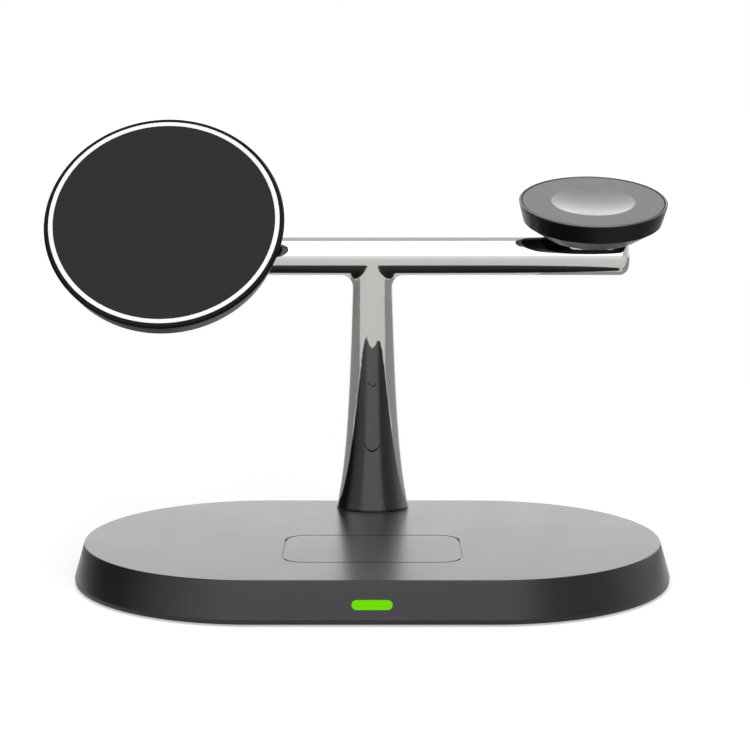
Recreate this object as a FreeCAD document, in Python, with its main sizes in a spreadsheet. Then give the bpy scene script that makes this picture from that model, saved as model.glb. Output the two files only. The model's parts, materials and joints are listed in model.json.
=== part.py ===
import FreeCAD, Part
import math
import operator
import os
import Sketcher

# Wireless charging station: weighted base with an earbud spot, chrome T stand,
# tilting magnetic phone head on the left and fixed watch head on the right.
# Millimetres, +Z up, origin on the table under the middle of the base, front towards -Y.

SIZES = {
    # Base
    "base_straight": 57.3,
    "base_bottom_radius": 46.35,
    "base_lean": 2.55,
    "base_height": 10.0,
    "base_wall": 2.0,
    "base_top_wall": 2.0,
    "base_edge_round": 0.4,
    "plate_edge": 1.2,
    "plate_round": 0.4,
    "plate_inset": 0.1,
    "plate_thick": 1.8,
    "plate_play": 0.2,
    "mat_proud": 0.5,
    "mat_thick": 1.0,
    "mat_margin": 6.0,
    "mat_play": 0.1,
    # Earbud spot
    "spot_width": 43.4,
    "spot_length": 28.3,
    "spot_corner": 5.3,
    "spot_inset": 31.55,
    "groove_width": 0.5,
    "groove_depth": 0.3,
    "earbud_coil_outer": 18.0,
    "earbud_coil_inner": 8.5,
    "earbud_coil_thick": 1.2,
    "earbud_ferrite_radius": 20.0,
    "earbud_ferrite_thick": 0.8,
    # Screws of the base
    "screw_play": 0.05,
    "base_screw_inset_x": 23.0,
    "base_screw_inset_y": 24.35,
    "base_screw_radius": 1.3,
    "base_screw_head": 2.5,
    "base_screw_head_thick": 1.6,
    "base_screw_bite": 3.6,
    "base_screw_seat": 1.4,
    "base_screw_boss": 3.0,
    "screw_cup_wall": 1.3,
    # Counterweights
    "weight_margin": 7.35,
    "weight_board_gap": 4.0,
    "weight_thick": 4.0,
    "weight_play": 0.5,
    # Boards in the base
    "standoff": 0.9,
    "standoff_radius": 2.2,
    "board_thick": 1.0,
    "board_width": 60.0,
    "board_length": 27.0,
    "board_screw_side": 3.0,
    "board_screw_inset": 4.0,
    "board_screw_radius": 0.9,
    "board_screw_head": 1.8,
    "board_screw_head_thick": 1.1,
    "board_screw_bite": 2.0,
    "chip_width": 6.0,
    "chip_thick": 0.9,
    "inductor_width": 6.0,
    "inductor_thick": 2.6,
    "inductor_x": 13.0,
    "capacitor_length": 3.2,
    "capacitor_thick": 1.6,
    "capacitor_pitch": 3.0,
    "parts_forward": 7.5,
    # Inlet socket
    "inlet_width": 8.94,
    "inlet_thick": 3.26,
    "inlet_corner": 1.3,
    "inlet_length": 6.5,
    "inlet_skin": 0.3,
    "inlet_sunk": 0.5,
    "inlet_overhang": 1.6,
    "inlet_block": 1.6,
    "inlet_play": 0.3,
    "tongue_width": 6.7,
    "tongue_thick": 0.7,
    "tongue_setback": 0.6,
    # Indicator
    "window_width": 9.5,
    "window_height": 2.25,
    "window_z": 5.08,
    "window_depth": 3.0,
    "window_play": 0.05,
    "lamp_board_width": 16.0,
    "lamp_board_length": 7.0,
    "lamp_board_pin_x": 5.0,
    "lamp_width": 3.2,
    "lamp_length": 1.4,
    "lamp_height": 1.5,
    "lamp_gap": 0.3,
    # T stand
    "post_inset": 8.5,
    "post_side_step": 0.04,
    "post_front_step": 0.06,
    "post_taper_width": 6.18,
    "post_taper_depth": 4.12,
    "post_flare_width": 3.4,
    "post_bore": 2.5,
    "bar_radius": 5.02,
    "bar_z": 80.5,
    "bar_forward": 20.3,
    "bar_half_length": 65.38,
    "bar_end_round": 2.4,
    "bar_bore_past": 3.0,
    "joint_round": 3.4,
    "stand_screw_x": 6.2,
    "stand_screw_radius": 1.45,
    "stand_screw_head": 2.4,
    "stand_screw_head_thick": 1.8,
    "stand_screw_bite": 6.5,
    # Tilt joint of the phone head
    "spigot_step": 1.52,
    "spigot_wall": 1.1,
    "tilt_edge_round": 0.3,
    "tilt_clearance": 0.05,
    "tilt_play": 0.05,
    "sleeve_length": 16.0,
    "washer_thick": 0.5,
    "washer_rim": 0.15,
    "cap_plug": 5.0,
    "lead_slot_width": 6.0,
    "neck_radius": 4.2,
    "neck_top_radius": 7.5,
    "neck_flange_radius": 10.0,
    "neck_flange_thick": 3.0,
    "neck_flange_round": 0.8,
    "neck_bore": 1.8,
    "neck_screw_ring": 7.4,
    "neck_screw_radius": 1.2,
    "neck_screw_head": 2.1,
    "neck_screw_head_thick": 1.2,
    "neck_screw_bite": 2.6,
    # Phone head
    "phone_end_distance": 13.88,
    "phone_elevation": 34.29,
    "phone_reach": 18.06,
    "phone_depth": 8.17,
    "phone_side_radius": 29.8,
    "phone_rim_step": 0.42,
    "phone_rim_drop": 0.67,
    "phone_rim_round": 0.25,
    "phone_rim_width": 0.75,
    "phone_fit": 0.05,
    "white_ring_width": 1.08,
    "phone_seam_depth": 1.73,
    "phone_seam_gap": 0.15,
    "phone_back_step": 1.57,
    "phone_back_rise": 1.56,
    "phone_back_run": 2.66,
    "phone_back_round": 1.9,
    "phone_wall": 1.5,
    "phone_face_thick": 1.2,
    "phone_ledge_thick": 0.8,
    "phone_ledge_width": 2.84,
    "tray_play": 0.3,
    "tray_thick": 0.8,
    "tray_width": 5.2,
    "magnet_inset": 0.2,
    "magnet_thick": 2.0,
    "magnet_gap": 0.6,
    "magnet_count": 16,
    "rib_inset": 1.8,
    "rib_width": 1.4,
    "phone_ferrite_play": 0.4,
    "phone_ferrite_thick": 0.9,
    "phone_coil_inset": 0.6,
    "phone_coil_width": 11.9,
    "phone_coil_thick": 1.5,
    "phone_board_inset": 2.0,
    "phone_board_thick": 1.0,
    "phone_board_gap": 0.2,
    "phone_post_inset": 3.5,
    "phone_post_radius": 1.8,
    # Watch head
    "watch_end_distance": 9.67,
    "watch_elevation": 73.85,
    "watch_reach": 14.9,
    "watch_depth": 8.4,
    "watch_rim_radius": 18.84,
    "watch_rim_round": 0.25,
    "watch_rim_width": 0.75,
    "watch_taper": 1.29,
    "watch_face_gap": 0.25,
    "watch_face_thick": 0.9,
    "watch_face_sunk": 0.1,
    "watch_seat_width": 1.2,
    "watch_cover_depth": 3.45,
    "watch_cover_run": 4.9,
    "watch_floor_thick": 1.3,
    "watch_lip_thick": 0.9,
    "watch_lip_play": 0.1,
    "dish_border": 7.14,
    "dish_depth": 1.1,
    "dish_floor_thick": 0.9,
    "dish_boss_margin": 1.2,
    "watch_coil_inset": 0.35,
    "watch_coil_width": 5.4,
    "watch_coil_thick": 1.3,
    "watch_magnet_play": 0.6,
    "watch_magnet_thick": 1.6,
    "watch_ferrite_thick": 0.5,
    "watch_board_inset": 0.2,
    "watch_board_thick": 0.6,
    "watch_rib_inset": 0.8,
    "watch_rib_width": 1.2,
    "watch_boss_length": 16.0,
    "watch_boss_width": 7.6,
    "watch_boss_round": 1.0,
    "watch_bore": 1.5,
    "watch_screw_inset": 3.0,
    "watch_screw_radius": 1.15,
    "watch_screw_head": 2.0,
    "watch_screw_head_thick": 1.0,
    "watch_screw_bite": 3.8,
    # Leads
    "lead_radius": 0.8,
    "lead_side": 1.2,
    "lead_bend": 3.2,
    "lead_gap": 0.3,
}

# Sizes that follow from the ones above
FOLLOWING_SIZES = {
    "base_top_radius": "base_bottom_radius - base_lean",
    "spot_y": "spot_inset - base_top_radius",
    "base_screw_x": "base_straight / 2 + base_bottom_radius - base_screw_inset_x",
    "base_screw_y": "base_bottom_radius - base_screw_inset_y",
    "weight_radius": "base_bottom_radius - weight_margin",
    "weight_start_x": "board_width / 2 + weight_board_gap",
    "board_screw_x": "board_width / 2 - board_screw_side",
    "post_y": "base_top_radius - post_inset",
    "bar_y": "post_y - bar_forward",
    "post_top_width": "bar_radius * 2 - post_side_step",
    "post_top_depth": "bar_radius * 2 - post_front_step",
    "spigot_radius": "bar_radius - spigot_step",
    "bar_bore": "spigot_radius - spigot_wall",
    "phone_x": "phone_end_distance - bar_half_length",
    "phone_rim_radius": "phone_side_radius - phone_rim_step",
    "phone_seat_radius": "phone_rim_radius - phone_rim_width",
    "ring_outer_radius": "phone_seat_radius - phone_fit",
    "ring_inner_radius": "ring_outer_radius - white_ring_width",
    "phone_face_radius": "ring_inner_radius - phone_fit",
    "phone_back_radius": "phone_side_radius - phone_back_step",
    "phone_back_depth": "phone_depth - phone_back_rise",
    "phone_back_flat": "phone_back_radius - phone_back_run",
    "phone_ledge_inner": "ring_outer_radius - phone_ledge_width",
    "tray_outer": "phone_ledge_inner - tray_play",
    "tray_inner": "tray_outer - tray_width",
    "magnet_outer": "tray_outer - magnet_inset",
    "magnet_inner": "tray_inner + magnet_inset",
    "rib_outer": "tray_outer - rib_inset",
    "rib_inner": "rib_outer - rib_width",
    "phone_ferrite_radius": "tray_inner - phone_ferrite_play",
    "phone_coil_outer": "phone_ferrite_radius - phone_coil_inset",
    "phone_coil_inner": "phone_coil_outer - phone_coil_width",
    "phone_board_radius": "phone_ferrite_radius - phone_board_inset",
    "phone_post_ring": "phone_board_radius - phone_post_inset",
    "phone_post_height": "neck_screw_head_thick + phone_board_gap",
    "watch_x": "bar_half_length - watch_end_distance",
    "watch_side_depth": "watch_depth - watch_cover_depth",
    "watch_low_radius": "watch_rim_radius - watch_taper",
    "watch_recess_radius": "watch_rim_radius - watch_rim_width",
    "watch_face_radius": "watch_recess_radius - watch_face_gap",
    "watch_inner_radius": "watch_face_radius - watch_seat_width",
    "watch_flat_radius": "watch_low_radius - watch_cover_run",
    "dish_radius": "watch_face_radius - dish_border",
    "dish_boss_radius": "dish_radius + dish_boss_margin",
    "watch_coil_outer": "dish_boss_radius - watch_coil_inset",
    "watch_coil_inner": "watch_coil_outer - watch_coil_width",
    "watch_magnet_radius": "watch_coil_inner - watch_magnet_play",
    "watch_board_radius": "watch_flat_radius - watch_board_inset",
    "watch_rib_outer": "watch_coil_outer - watch_rib_inset",
    "watch_rib_inner": "watch_rib_outer - watch_rib_width",
    "watch_screw_x": "watch_boss_length / 2 - watch_screw_inset",
}

# How the post widens from the crossbar down, and the shares of that way that carry a section.
# The first section lies below the base's top, so that the leaning post can be cut level there.
TAPER_POWER = 1.45
FLARE_POWER = 6.0
POST_SECTIONS = (1.05, 0.94, 0.86, 0.74, 0.5, 0.25, 0.0)

# Cross recess of a screw, as shares of its head's radius and thickness
RECESS_LENGTH_SHARE = 1.2
RECESS_WIDTH_SHARE = 0.3
RECESS_DEPTH_SHARE = 0.55

# Places of the neck's screws round the phone head's axis, in degrees
NECK_SCREW_TURNS = (90.0, 210.0, 330.0)

RIGHT_ANGLE = 90.0
FULL_TURN = 360.0

# How close an edge must lie to a place to be picked there
PICK_TOLERANCE = 0.01

OPERATIONS = {
    "+": operator.add,
    "-": operator.sub,
    "*": operator.mul,
    "/": operator.truediv,
}


class Measure:
    """A number together with the sheet formula that it comes from."""

    def __init__(self, value, formula):
        self.value = value
        self.formula = formula

    def __add__(self, other):
        return combined(self, "+", other)

    def __sub__(self, other):
        return combined(self, "-", other)

    def __mul__(self, other):
        return combined(self, "*", other)

    def __truediv__(self, other):
        return combined(self, "/", other)

    def __neg__(self):
        return combined(0.0, "-", self)


def measure(item):
    if isinstance(item, Measure):
        return item
    return Measure(float(item), repr(float(item)))


def combined(left, symbol, right):
    left = measure(left)
    right = measure(right)
    value = OPERATIONS[symbol](left.value, right.value)
    return Measure(value, f"({left.formula} {symbol} {right.formula})")


class Sizes:
    """Gives each size by its name, as a measure bound to the sheet."""

    def __getattr__(self, name):
        return Measure(float(sheet.get(name)), f"sizes.{name}")


s = Sizes()
doc = FreeCAD.newDocument("charging_station")
sheet = doc.addObject("Spreadsheet::Sheet", "sizes")
contents = {alias: str(number) for alias, number in SIZES.items()}
contents.update({alias: f"={formula}" for alias, formula in FOLLOWING_SIZES.items()})
for row, (alias, content) in enumerate(contents.items(), start=1):
    sheet.set(f"A{row}", alias)
    sheet.set(f"B{row}", content)
    sheet.setAlias(f"B{row}", alias)
doc.recompute()

nodes = []
X_AXIS = FreeCAD.Vector(1, 0, 0)
Y_AXIS = FreeCAD.Vector(0, 1, 0)
Z_AXIS = FreeCAD.Vector(0, 0, 1)


# Helpers shared by all sub-parts

def bind(item, prop, size):
    """Ties one property to the sheet."""
    item.setExpression(prop, measure(size).formula)


def set_place(item, x=0.0, y=0.0, z=0.0):
    """Ties an object's position to the sheet."""
    for letter, size in zip("xyz", (x, y, z)):
        bind(item, f"Placement.Base.{letter}", size)
    return item


def set_turn(item, axis, angle):
    """Turns an object about an axis by an angle from the sheet."""
    angle = measure(angle)
    item.Placement = FreeCAD.Placement(FreeCAD.Vector(), FreeCAD.Rotation(axis, angle.value))
    bind(item, "Placement.Rotation.Angle", angle)
    return item


def finish_node(item, label):
    """Names a finished sub-part, which also names its file."""
    item.Label = label
    nodes.append(item)
    return item


def cylinder(radius, length, x=0.0, y=0.0, z=0.0, along="z"):
    item = doc.addObject("Part::Cylinder", "cylinder")
    bind(item, "Radius", radius)
    bind(item, "Height", length)
    if along == "x":
        set_turn(item, Y_AXIS, RIGHT_ANGLE)
    return set_place(item, x, y, z)


def cone(low_radius, high_radius, length, z):
    item = doc.addObject("Part::Cone", "cone")
    bind(item, "Radius1", low_radius)
    bind(item, "Radius2", high_radius)
    bind(item, "Height", length)
    return set_place(item, z=z)


def centred_box(width, length, height, x=0.0, y=0.0, z=0.0):
    """A box centred on x and y, standing on z."""
    item = doc.addObject("Part::Box", "box")
    width = measure(width)
    length = measure(length)
    bind(item, "Length", width)
    bind(item, "Width", length)
    bind(item, "Height", height)
    return set_place(item, measure(x) - width / 2, measure(y) - length / 2, z)


def fused(*items):
    result = doc.addObject("Part::MultiFuse", "fuse")
    result.Shapes = list(items)
    return result


def cut(base, *tools):
    result = doc.addObject("Part::Cut", "cut")
    result.Base = base
    result.Tool = tools[0] if len(tools) == 1 else fused(*tools)
    return result


def group(items):
    result = doc.addObject("Part::Compound", "group")
    result.Links = list(items)
    return result


def ring(inner, outer, thick, z):
    return cut(cylinder(outer, thick, z=z), cylinder(inner, thick, z=z))


def new_body(label):
    return finish_node(doc.addObject("PartDesign::Body", label), label)


def new_sketch(body, plane="XY_Plane", lift=0.0):
    sketch = body.newObject("Sketcher::SketchObject", "sketch")
    support = next(item for item in body.Origin.OriginFeatures if item.Role == plane)
    sketch.AttachmentSupport = [(support, "")]
    sketch.MapMode = "FlatFace"
    bind(sketch, "AttachmentOffset.Base.z", lift)
    return sketch


def pin_point(sketch, geometry, point, x, y):
    """Fixes one point of a sketch at two sheet sizes from the origin."""
    for kind, size in (("DistanceX", measure(x)), ("DistanceY", measure(y))):
        index = sketch.addConstraint(Sketcher.Constraint(kind, -1, 1, geometry, point, size.value))
        sketch.setExpression(f"Constraints[{index}]", size.formula)


def add_circle(sketch, radius, x=0.0, y=0.0):
    x, y, radius = measure(x), measure(y), measure(radius)
    centre = FreeCAD.Vector(x.value, y.value, 0)
    geometry = sketch.addGeometry(Part.Circle(centre, Z_AXIS, radius.value))
    pin_point(sketch, geometry, 3, x, y)
    index = sketch.addConstraint(Sketcher.Constraint("Radius", geometry, radius.value))
    sketch.setExpression(f"Constraints[{index}]", radius.formula)


def add_line(sketch, start, end):
    vectors = [FreeCAD.Vector(measure(x).value, measure(y).value, 0) for x, y in (start, end)]
    return sketch.addGeometry(Part.LineSegment(*vectors))


def add_polygon(sketch, points):
    """A closed outline of straight lines through points given as pairs of sizes."""
    lines = []
    for start, end in zip(points, points[1:] + points[:1]):
        lines.append(add_line(sketch, start, end))
    for line, after in zip(lines, lines[1:] + lines[:1]):
        sketch.addConstraint(Sketcher.Constraint("Coincident", line, 2, after, 1))
    for line, (x, y) in zip(lines, points):
        pin_point(sketch, line, 1, x, y)


def add_rounded(sketch, width, length, corner, x=0.0, y=0.0):
    """A rectangle with round corners: four arcs on pinned centres, joined by four lines."""
    width, length, corner = measure(width), measure(length), measure(corner)
    x, y = measure(x), measure(y)
    arcs = []
    for quarter, (side_x, side_y) in enumerate(((1, 1), (-1, 1), (-1, -1), (1, -1))):
        centre_x = x + (width / 2 - corner) * side_x
        centre_y = y + (length / 2 - corner) * side_y
        circle = Part.Circle(FreeCAD.Vector(centre_x.value, centre_y.value, 0), Z_AXIS, corner.value)
        start = quarter * math.pi / 2
        arc = sketch.addGeometry(Part.ArcOfCircle(circle, start, start + math.pi / 2))
        pin_point(sketch, arc, 3, centre_x, centre_y)
        arcs.append(arc)
    index = sketch.addConstraint(Sketcher.Constraint("Radius", arcs[0], corner.value))
    sketch.setExpression(f"Constraints[{index}]", corner.formula)
    for arc in arcs[1:]:
        sketch.addConstraint(Sketcher.Constraint("Equal", arcs[0], arc))
    for place, arc in enumerate(arcs):
        after = arcs[(place + 1) % 4]
        shape = sketch.Geometry
        line = sketch.addGeometry(Part.LineSegment(shape[arc].EndPoint, shape[after].StartPoint))
        sketch.addConstraint(Sketcher.Constraint("Tangent", arc, 2, line, 1))
        sketch.addConstraint(Sketcher.Constraint("Tangent", line, 2, after, 1))


def add_stadium(sketch, straight, radius):
    """Two half circles on the ends of a straight stretch along X."""
    straight, radius = measure(straight), measure(radius)
    arcs = []
    for side in (1, -1):
        centre = FreeCAD.Vector(straight.value / 2 * side, 0, 0)
        circle = Part.Circle(centre, Z_AXIS, radius.value)
        middle = 0.0 if side > 0 else math.pi
        arc = sketch.addGeometry(Part.ArcOfCircle(circle, middle - math.pi / 2, middle + math.pi / 2))
        pin_point(sketch, arc, 3, straight / 2 * side, 0.0)
        arcs.append(arc)
    index = sketch.addConstraint(Sketcher.Constraint("Radius", arcs[0], radius.value))
    sketch.setExpression(f"Constraints[{index}]", radius.formula)
    sketch.addConstraint(Sketcher.Constraint("Equal", arcs[0], arcs[1]))
    for arc, after in (arcs, arcs[::-1]):
        shape = sketch.Geometry
        line = sketch.addGeometry(Part.LineSegment(shape[arc].EndPoint, shape[after].StartPoint))
        sketch.addConstraint(Sketcher.Constraint("Tangent", arc, 2, line, 1))
        sketch.addConstraint(Sketcher.Constraint("Tangent", line, 2, after, 1))


def pad(body, sketch, length):
    """Adds material upwards from a sketch."""
    feature = body.newObject("PartDesign::Pad", "pad")
    feature.Profile = sketch
    bind(feature, "Length", length)
    body.Tip = feature
    return feature


def pocket(body, sketch, depth, upwards=True):
    """Takes material away above or below a sketch, and checks that it did."""
    doc.recompute()
    before = body.Shape.Volume
    feature = body.newObject("PartDesign::Pocket", "pocket")
    feature.Profile = sketch
    feature.Reversed = upwards
    bind(feature, "Length", depth)
    body.Tip = feature
    doc.recompute()
    if body.Shape.Volume >= before:
        raise ValueError(f"a pocket of {body.Label} cuts nothing")
    return feature


def revolve(body, points):
    """Turns an outline of radius and height pairs about the body's Z axis."""
    sketch = new_sketch(body, "XZ_Plane")
    add_polygon(sketch, points)
    feature = body.newObject("PartDesign::Revolution", "revolution")
    feature.Profile = sketch
    feature.ReferenceAxis = (sketch, ["V_Axis"])
    feature.Angle = FULL_TURN
    body.Tip = feature
    return feature


def round_edges(body, radius, pick):
    """Rounds the edges of a body that a test picks."""
    doc.recompute()
    base = body.Tip
    names = [f"Edge{n}" for n, edge in enumerate(base.Shape.Edges, start=1) if pick(edge)]
    feature = body.newObject("PartDesign::Fillet", "fillet")
    feature.Base = (base, names)
    bind(feature, "Radius", radius)
    body.Tip = feature
    return feature


def fillet(item, sized_picks):
    """Rounds the edges of an object that each test picks, by the size given with the test."""
    doc.recompute()
    rounding = doc.addObject("Part::Fillet", "rounding")
    rounding.Base = item
    edges = []
    for number, edge in enumerate(item.Shape.Edges, start=1):
        for pick, size in sized_picks:
            if pick(edge):
                edges.append((number, size.value, size.value))
                break
    if not edges:
        raise ValueError(f"{item.Name} has no edge to round")
    rounding.Edges = edges
    return rounding


def is_circle_at(height, radius):
    """Picks the full circles of one radius at one height on the Z axis."""
    def pick(edge):
        box = edge.BoundBox
        at_height = max(abs(box.ZMin - height.value), abs(box.ZMax - height.value)) < PICK_TOLERANCE
        return at_height and abs(box.XMax - radius.value) < PICK_TOLERANCE
    return pick


def is_flat_at_x(*places):
    """Picks the edges that lie square to the X axis at any of the places."""
    def pick(edge):
        box = edge.BoundBox
        return any(max(abs(box.XMin - place.value), abs(box.XMax - place.value)) < PICK_TOLERANCE
                   for place in places)
    return pick


def screw(head, head_thick, shank, bite, x, y, z, turned=False):
    """A screw at x, y whose head seats at z, with the shank above it, or below it if turned."""
    depth = head_thick * RECESS_DEPTH_SHARE
    if turned:
        head_z = measure(z)
        shank_z = head_z - bite
        cross_z = head_z + head_thick - depth
    else:
        shank_z = measure(z)
        head_z = shank_z - head_thick
        cross_z = head_z
    blank = fused(cylinder(head, head_thick, x, y, head_z), cylinder(shank, bite, x, y, shank_z))
    long_side = head * RECESS_LENGTH_SHARE
    short_side = head * RECESS_WIDTH_SHARE
    return cut(blank, centred_box(long_side, short_side, depth, x, y, cross_z),
               centred_box(short_side, long_side, depth, x, y, cross_z))


def corner_points(x, y):
    """The four points of a rectangle about the origin."""
    return [(measure(x) * side_x, measure(y) * side_y) for side_x in (1, -1) for side_y in (1, -1)]


# Levels of the base, counted from the table

plate_bottom = s.mat_proud
seam_z = plate_bottom + s.plate_edge
panel_top = plate_bottom + s.plate_thick
top_z = plate_bottom + s.base_height
ceiling_z = top_z - s.base_top_wall
recess_z = s.mat_thick
cup_top = recess_z + s.base_screw_head_thick + s.base_screw_seat
board_z = panel_top + s.standoff
board_top = board_z + s.board_thick
wall_height = top_z - seam_z
wall_slope = (s.base_bottom_radius - s.base_top_radius) / wall_height
wall_lean = Measure(math.degrees(math.atan(wall_slope.value)), f"(atan({wall_slope.formula}) / 1 deg)")
inner_bottom_radius = s.base_bottom_radius - s.base_wall
inner_top_radius = inner_bottom_radius - wall_slope * (ceiling_z - seam_z)
inlet_z = board_top + s.inlet_thick / 2
inlet_mouth_y = s.base_bottom_radius - wall_slope * (inlet_z - seam_z) - s.inlet_sunk
board_y = inlet_mouth_y - s.inlet_overhang - s.board_length / 2
board_screw_y = s.board_length / 2 - s.board_screw_inset
window_y = -(s.base_bottom_radius - wall_slope * (s.window_z - seam_z))
lamp_y = window_y + s.window_depth + s.lamp_gap + s.lamp_length / 2
lamp_board_y = lamp_y - s.lamp_length / 2 + s.lamp_board_length / 2

# Places on the crossbar

spigot_end_x = s.phone_x - s.sleeve_length / 2 - s.tilt_play - s.washer_thick
shoulder_x = s.phone_x + s.sleeve_length / 2 + s.tilt_play + s.washer_thick
post_rise = s.bar_z - top_z
post_slope = s.bar_forward / post_rise
post_lean = Measure(math.degrees(math.atan(post_slope.value)), f"(atan({post_slope.formula}) / 1 deg)")
post_length = Measure(math.hypot(s.bar_forward.value, post_rise.value),
                      f"hypot({s.bar_forward.formula}; {post_rise.formula})")
watch_boss_top = s.watch_reach - s.watch_depth
phone_lean = measure(RIGHT_ANGLE) - s.phone_elevation
watch_lean = measure(RIGHT_ANGLE) - s.watch_elevation


def on_phone_head(item):
    """Puts a piece made about the head's own axis on the crossbar, leaning back."""
    set_turn(item, X_AXIS, phone_lean)
    return set_place(item, s.phone_x, s.bar_y, s.bar_z)


def on_watch_head(item):
    """Puts a piece made about the watch head's own axis on the crossbar."""
    set_turn(item, X_AXIS, watch_lean)
    return set_place(item, s.watch_x, s.bar_y, s.bar_z)


def inlet_prism(grow, start_y, length):
    """A bar with the inlet's rounded section, grown all round, running towards the back."""
    prism = doc.addObject("PartDesign::Body", "inlet_prism")
    sketch = new_sketch(prism, "XZ_Plane", -measure(start_y))
    grow = measure(grow)
    width = s.inlet_width + grow * 2
    thick = s.inlet_thick + grow * 2
    add_rounded(sketch, width, thick, s.inlet_corner + grow, 0.0, inlet_z)
    feature = pad(prism, sketch, length)
    feature.Reversed = True
    return prism


def window_prism(grow, depth):
    """The indicator's pill, square to the leaning front wall, reaching inwards from its face."""
    prism = doc.addObject("PartDesign::Body", "window_prism")
    sketch = new_sketch(prism)
    grow = measure(grow)
    straight = s.window_width - s.window_height
    add_stadium(sketch, straight, s.window_height / 2 + grow)
    feature = pad(prism, sketch, depth)
    feature.Reversed = True
    set_turn(prism, X_AXIS, measure(RIGHT_ANGLE) - wall_lean)
    return set_place(prism, 0.0, window_y, s.window_z)


def lean_wall(body, low_radius, high_radius, low_z, high_z, hollow=False):
    """A stadium with leaning walls, added to a body or hollowed out of it: a bar and two cones."""
    half = s.base_straight / 2
    section = new_sketch(body, "YZ_Plane", -half)
    add_polygon(section, [
        (-low_radius, low_z),
        (low_radius, low_z),
        (high_radius, high_z),
        (-high_radius, high_z),
    ])
    if hollow:
        pocket(body, section, s.base_straight)
    else:
        pad(body, section, s.base_straight)
    kind = "PartDesign::SubtractiveCone" if hollow else "PartDesign::AdditiveCone"
    for side in (1, -1):
        end = body.newObject(kind, "wall_end")
        bind(end, "Radius1", low_radius)
        bind(end, "Radius2", high_radius)
        bind(end, "Height", high_z - low_z)
        set_place(end, half * side, 0.0, low_z)
        body.Tip = end


# Base housing: moulded shell with a leaning wall, a crisp top edge and an engraved earbud spot

def make_base_housing():
    body = doc.addObject("PartDesign::Body", "housing_shell")
    lean_wall(body, s.base_bottom_radius, s.base_top_radius, seam_z, top_z)
    round_edges(body, s.base_edge_round, lambda edge: edge.BoundBox.ZMin > top_z.value - PICK_TOLERANCE)
    lean_wall(body, inner_bottom_radius, inner_top_radius, seam_z, ceiling_z, hollow=True)
    bosses = new_sketch(body, lift=cup_top)
    for x, y in corner_points(s.base_screw_x, s.base_screw_y):
        add_circle(bosses, s.base_screw_boss, x, y)
    pad(body, bosses, ceiling_z - cup_top)
    pilots = new_sketch(body, lift=cup_top)
    for x, y in corner_points(s.base_screw_x, s.base_screw_y):
        add_circle(pilots, s.base_screw_radius + s.screw_play, x, y)
    pocket(body, pilots, s.base_screw_bite)
    groove = new_sketch(body, lift=top_z)
    for side in (1, -1):
        grow = s.groove_width * side
        corner = s.spot_corner + s.groove_width / 2 * side
        add_rounded(groove, s.spot_width + grow, s.spot_length + grow, corner, 0.0, s.spot_y)
    pocket(body, groove, s.groove_depth, upwards=False)
    holes = new_sketch(body, lift=ceiling_z)
    add_circle(holes, s.post_bore, 0.0, s.post_y)
    for side in (1, -1):
        add_circle(holes, s.stand_screw_radius + s.screw_play, s.stand_screw_x * side, s.post_y)
    pocket(body, holes, s.base_top_wall)
    # Cuts reach this far to each side of the wall's face, to pass right through it
    wall_through = s.base_wall * 2
    inlet_cut = inlet_prism(s.inlet_play, inlet_mouth_y - wall_through, wall_through * 2)
    window_cut = window_prism(s.window_play, wall_through)
    finish_node(cut(body, inlet_cut, window_cut), "base_housing")


# Bottom plate: closes the base, carries the weights and boards, and is recessed below for the mat

def make_base_plate():
    body = new_body("base_plate")
    edge = new_sketch(body, lift=plate_bottom)
    add_stadium(edge, s.base_straight, s.base_bottom_radius - s.plate_inset)
    pad(body, edge, s.plate_edge)
    round_edges(body, s.plate_round, lambda edge: edge.BoundBox.ZMax < plate_bottom.value + PICK_TOLERANCE)
    panel = new_sketch(body, lift=seam_z)
    panel_radius = inner_bottom_radius - wall_slope * (panel_top - seam_z) - s.plate_play
    add_stadium(panel, s.base_straight, panel_radius)
    pad(body, panel, panel_top - seam_z)
    cups = new_sketch(body, lift=panel_top)
    cup_radius = s.base_screw_head + s.screw_cup_wall
    for x, y in corner_points(s.base_screw_x, s.base_screw_y):
        add_circle(cups, cup_radius, x, y)
    pad(body, cups, cup_top - panel_top)
    standoffs = new_sketch(body, lift=panel_top)
    for x, y in corner_points(s.board_screw_x, board_screw_y):
        add_circle(standoffs, s.standoff_radius, x, board_y + y)
    for side in (1, -1):
        add_circle(standoffs, s.standoff_radius, s.lamp_board_pin_x * side, lamp_board_y)
    pad(body, standoffs, s.standoff)
    recess = new_sketch(body, lift=plate_bottom)
    add_stadium(recess, s.base_straight, s.base_bottom_radius - s.mat_margin + s.mat_play)
    pocket(body, recess, recess_z - plate_bottom)
    sinks = new_sketch(body, lift=recess_z)
    for x, y in corner_points(s.base_screw_x, s.base_screw_y):
        add_circle(sinks, s.base_screw_head + s.screw_play * 2, x, y)
    pocket(body, sinks, s.base_screw_head_thick)
    holes = new_sketch(body, lift=recess_z)
    for x, y in corner_points(s.base_screw_x, s.base_screw_y):
        add_circle(holes, s.base_screw_radius + s.screw_play, x, y)
    pocket(body, holes, cup_top - recess_z)
    threads = new_sketch(body, lift=board_z)
    for x, y in corner_points(s.board_screw_x, board_screw_y):
        add_circle(threads, s.board_screw_radius + s.screw_play, x, board_y + y)
    pocket(body, threads, s.board_screw_bite - s.board_thick, upwards=False)


# Anti-slip mat: silicone sheet stuck in the plate's recess, the face that the station rests on

def make_mat():
    body = new_body("anti_slip_mat")
    outline = new_sketch(body)
    add_stadium(outline, s.base_straight, s.base_bottom_radius - s.mat_margin)
    pad(body, outline, s.mat_thick)


# Screws, weights and boards inside the base

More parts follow.
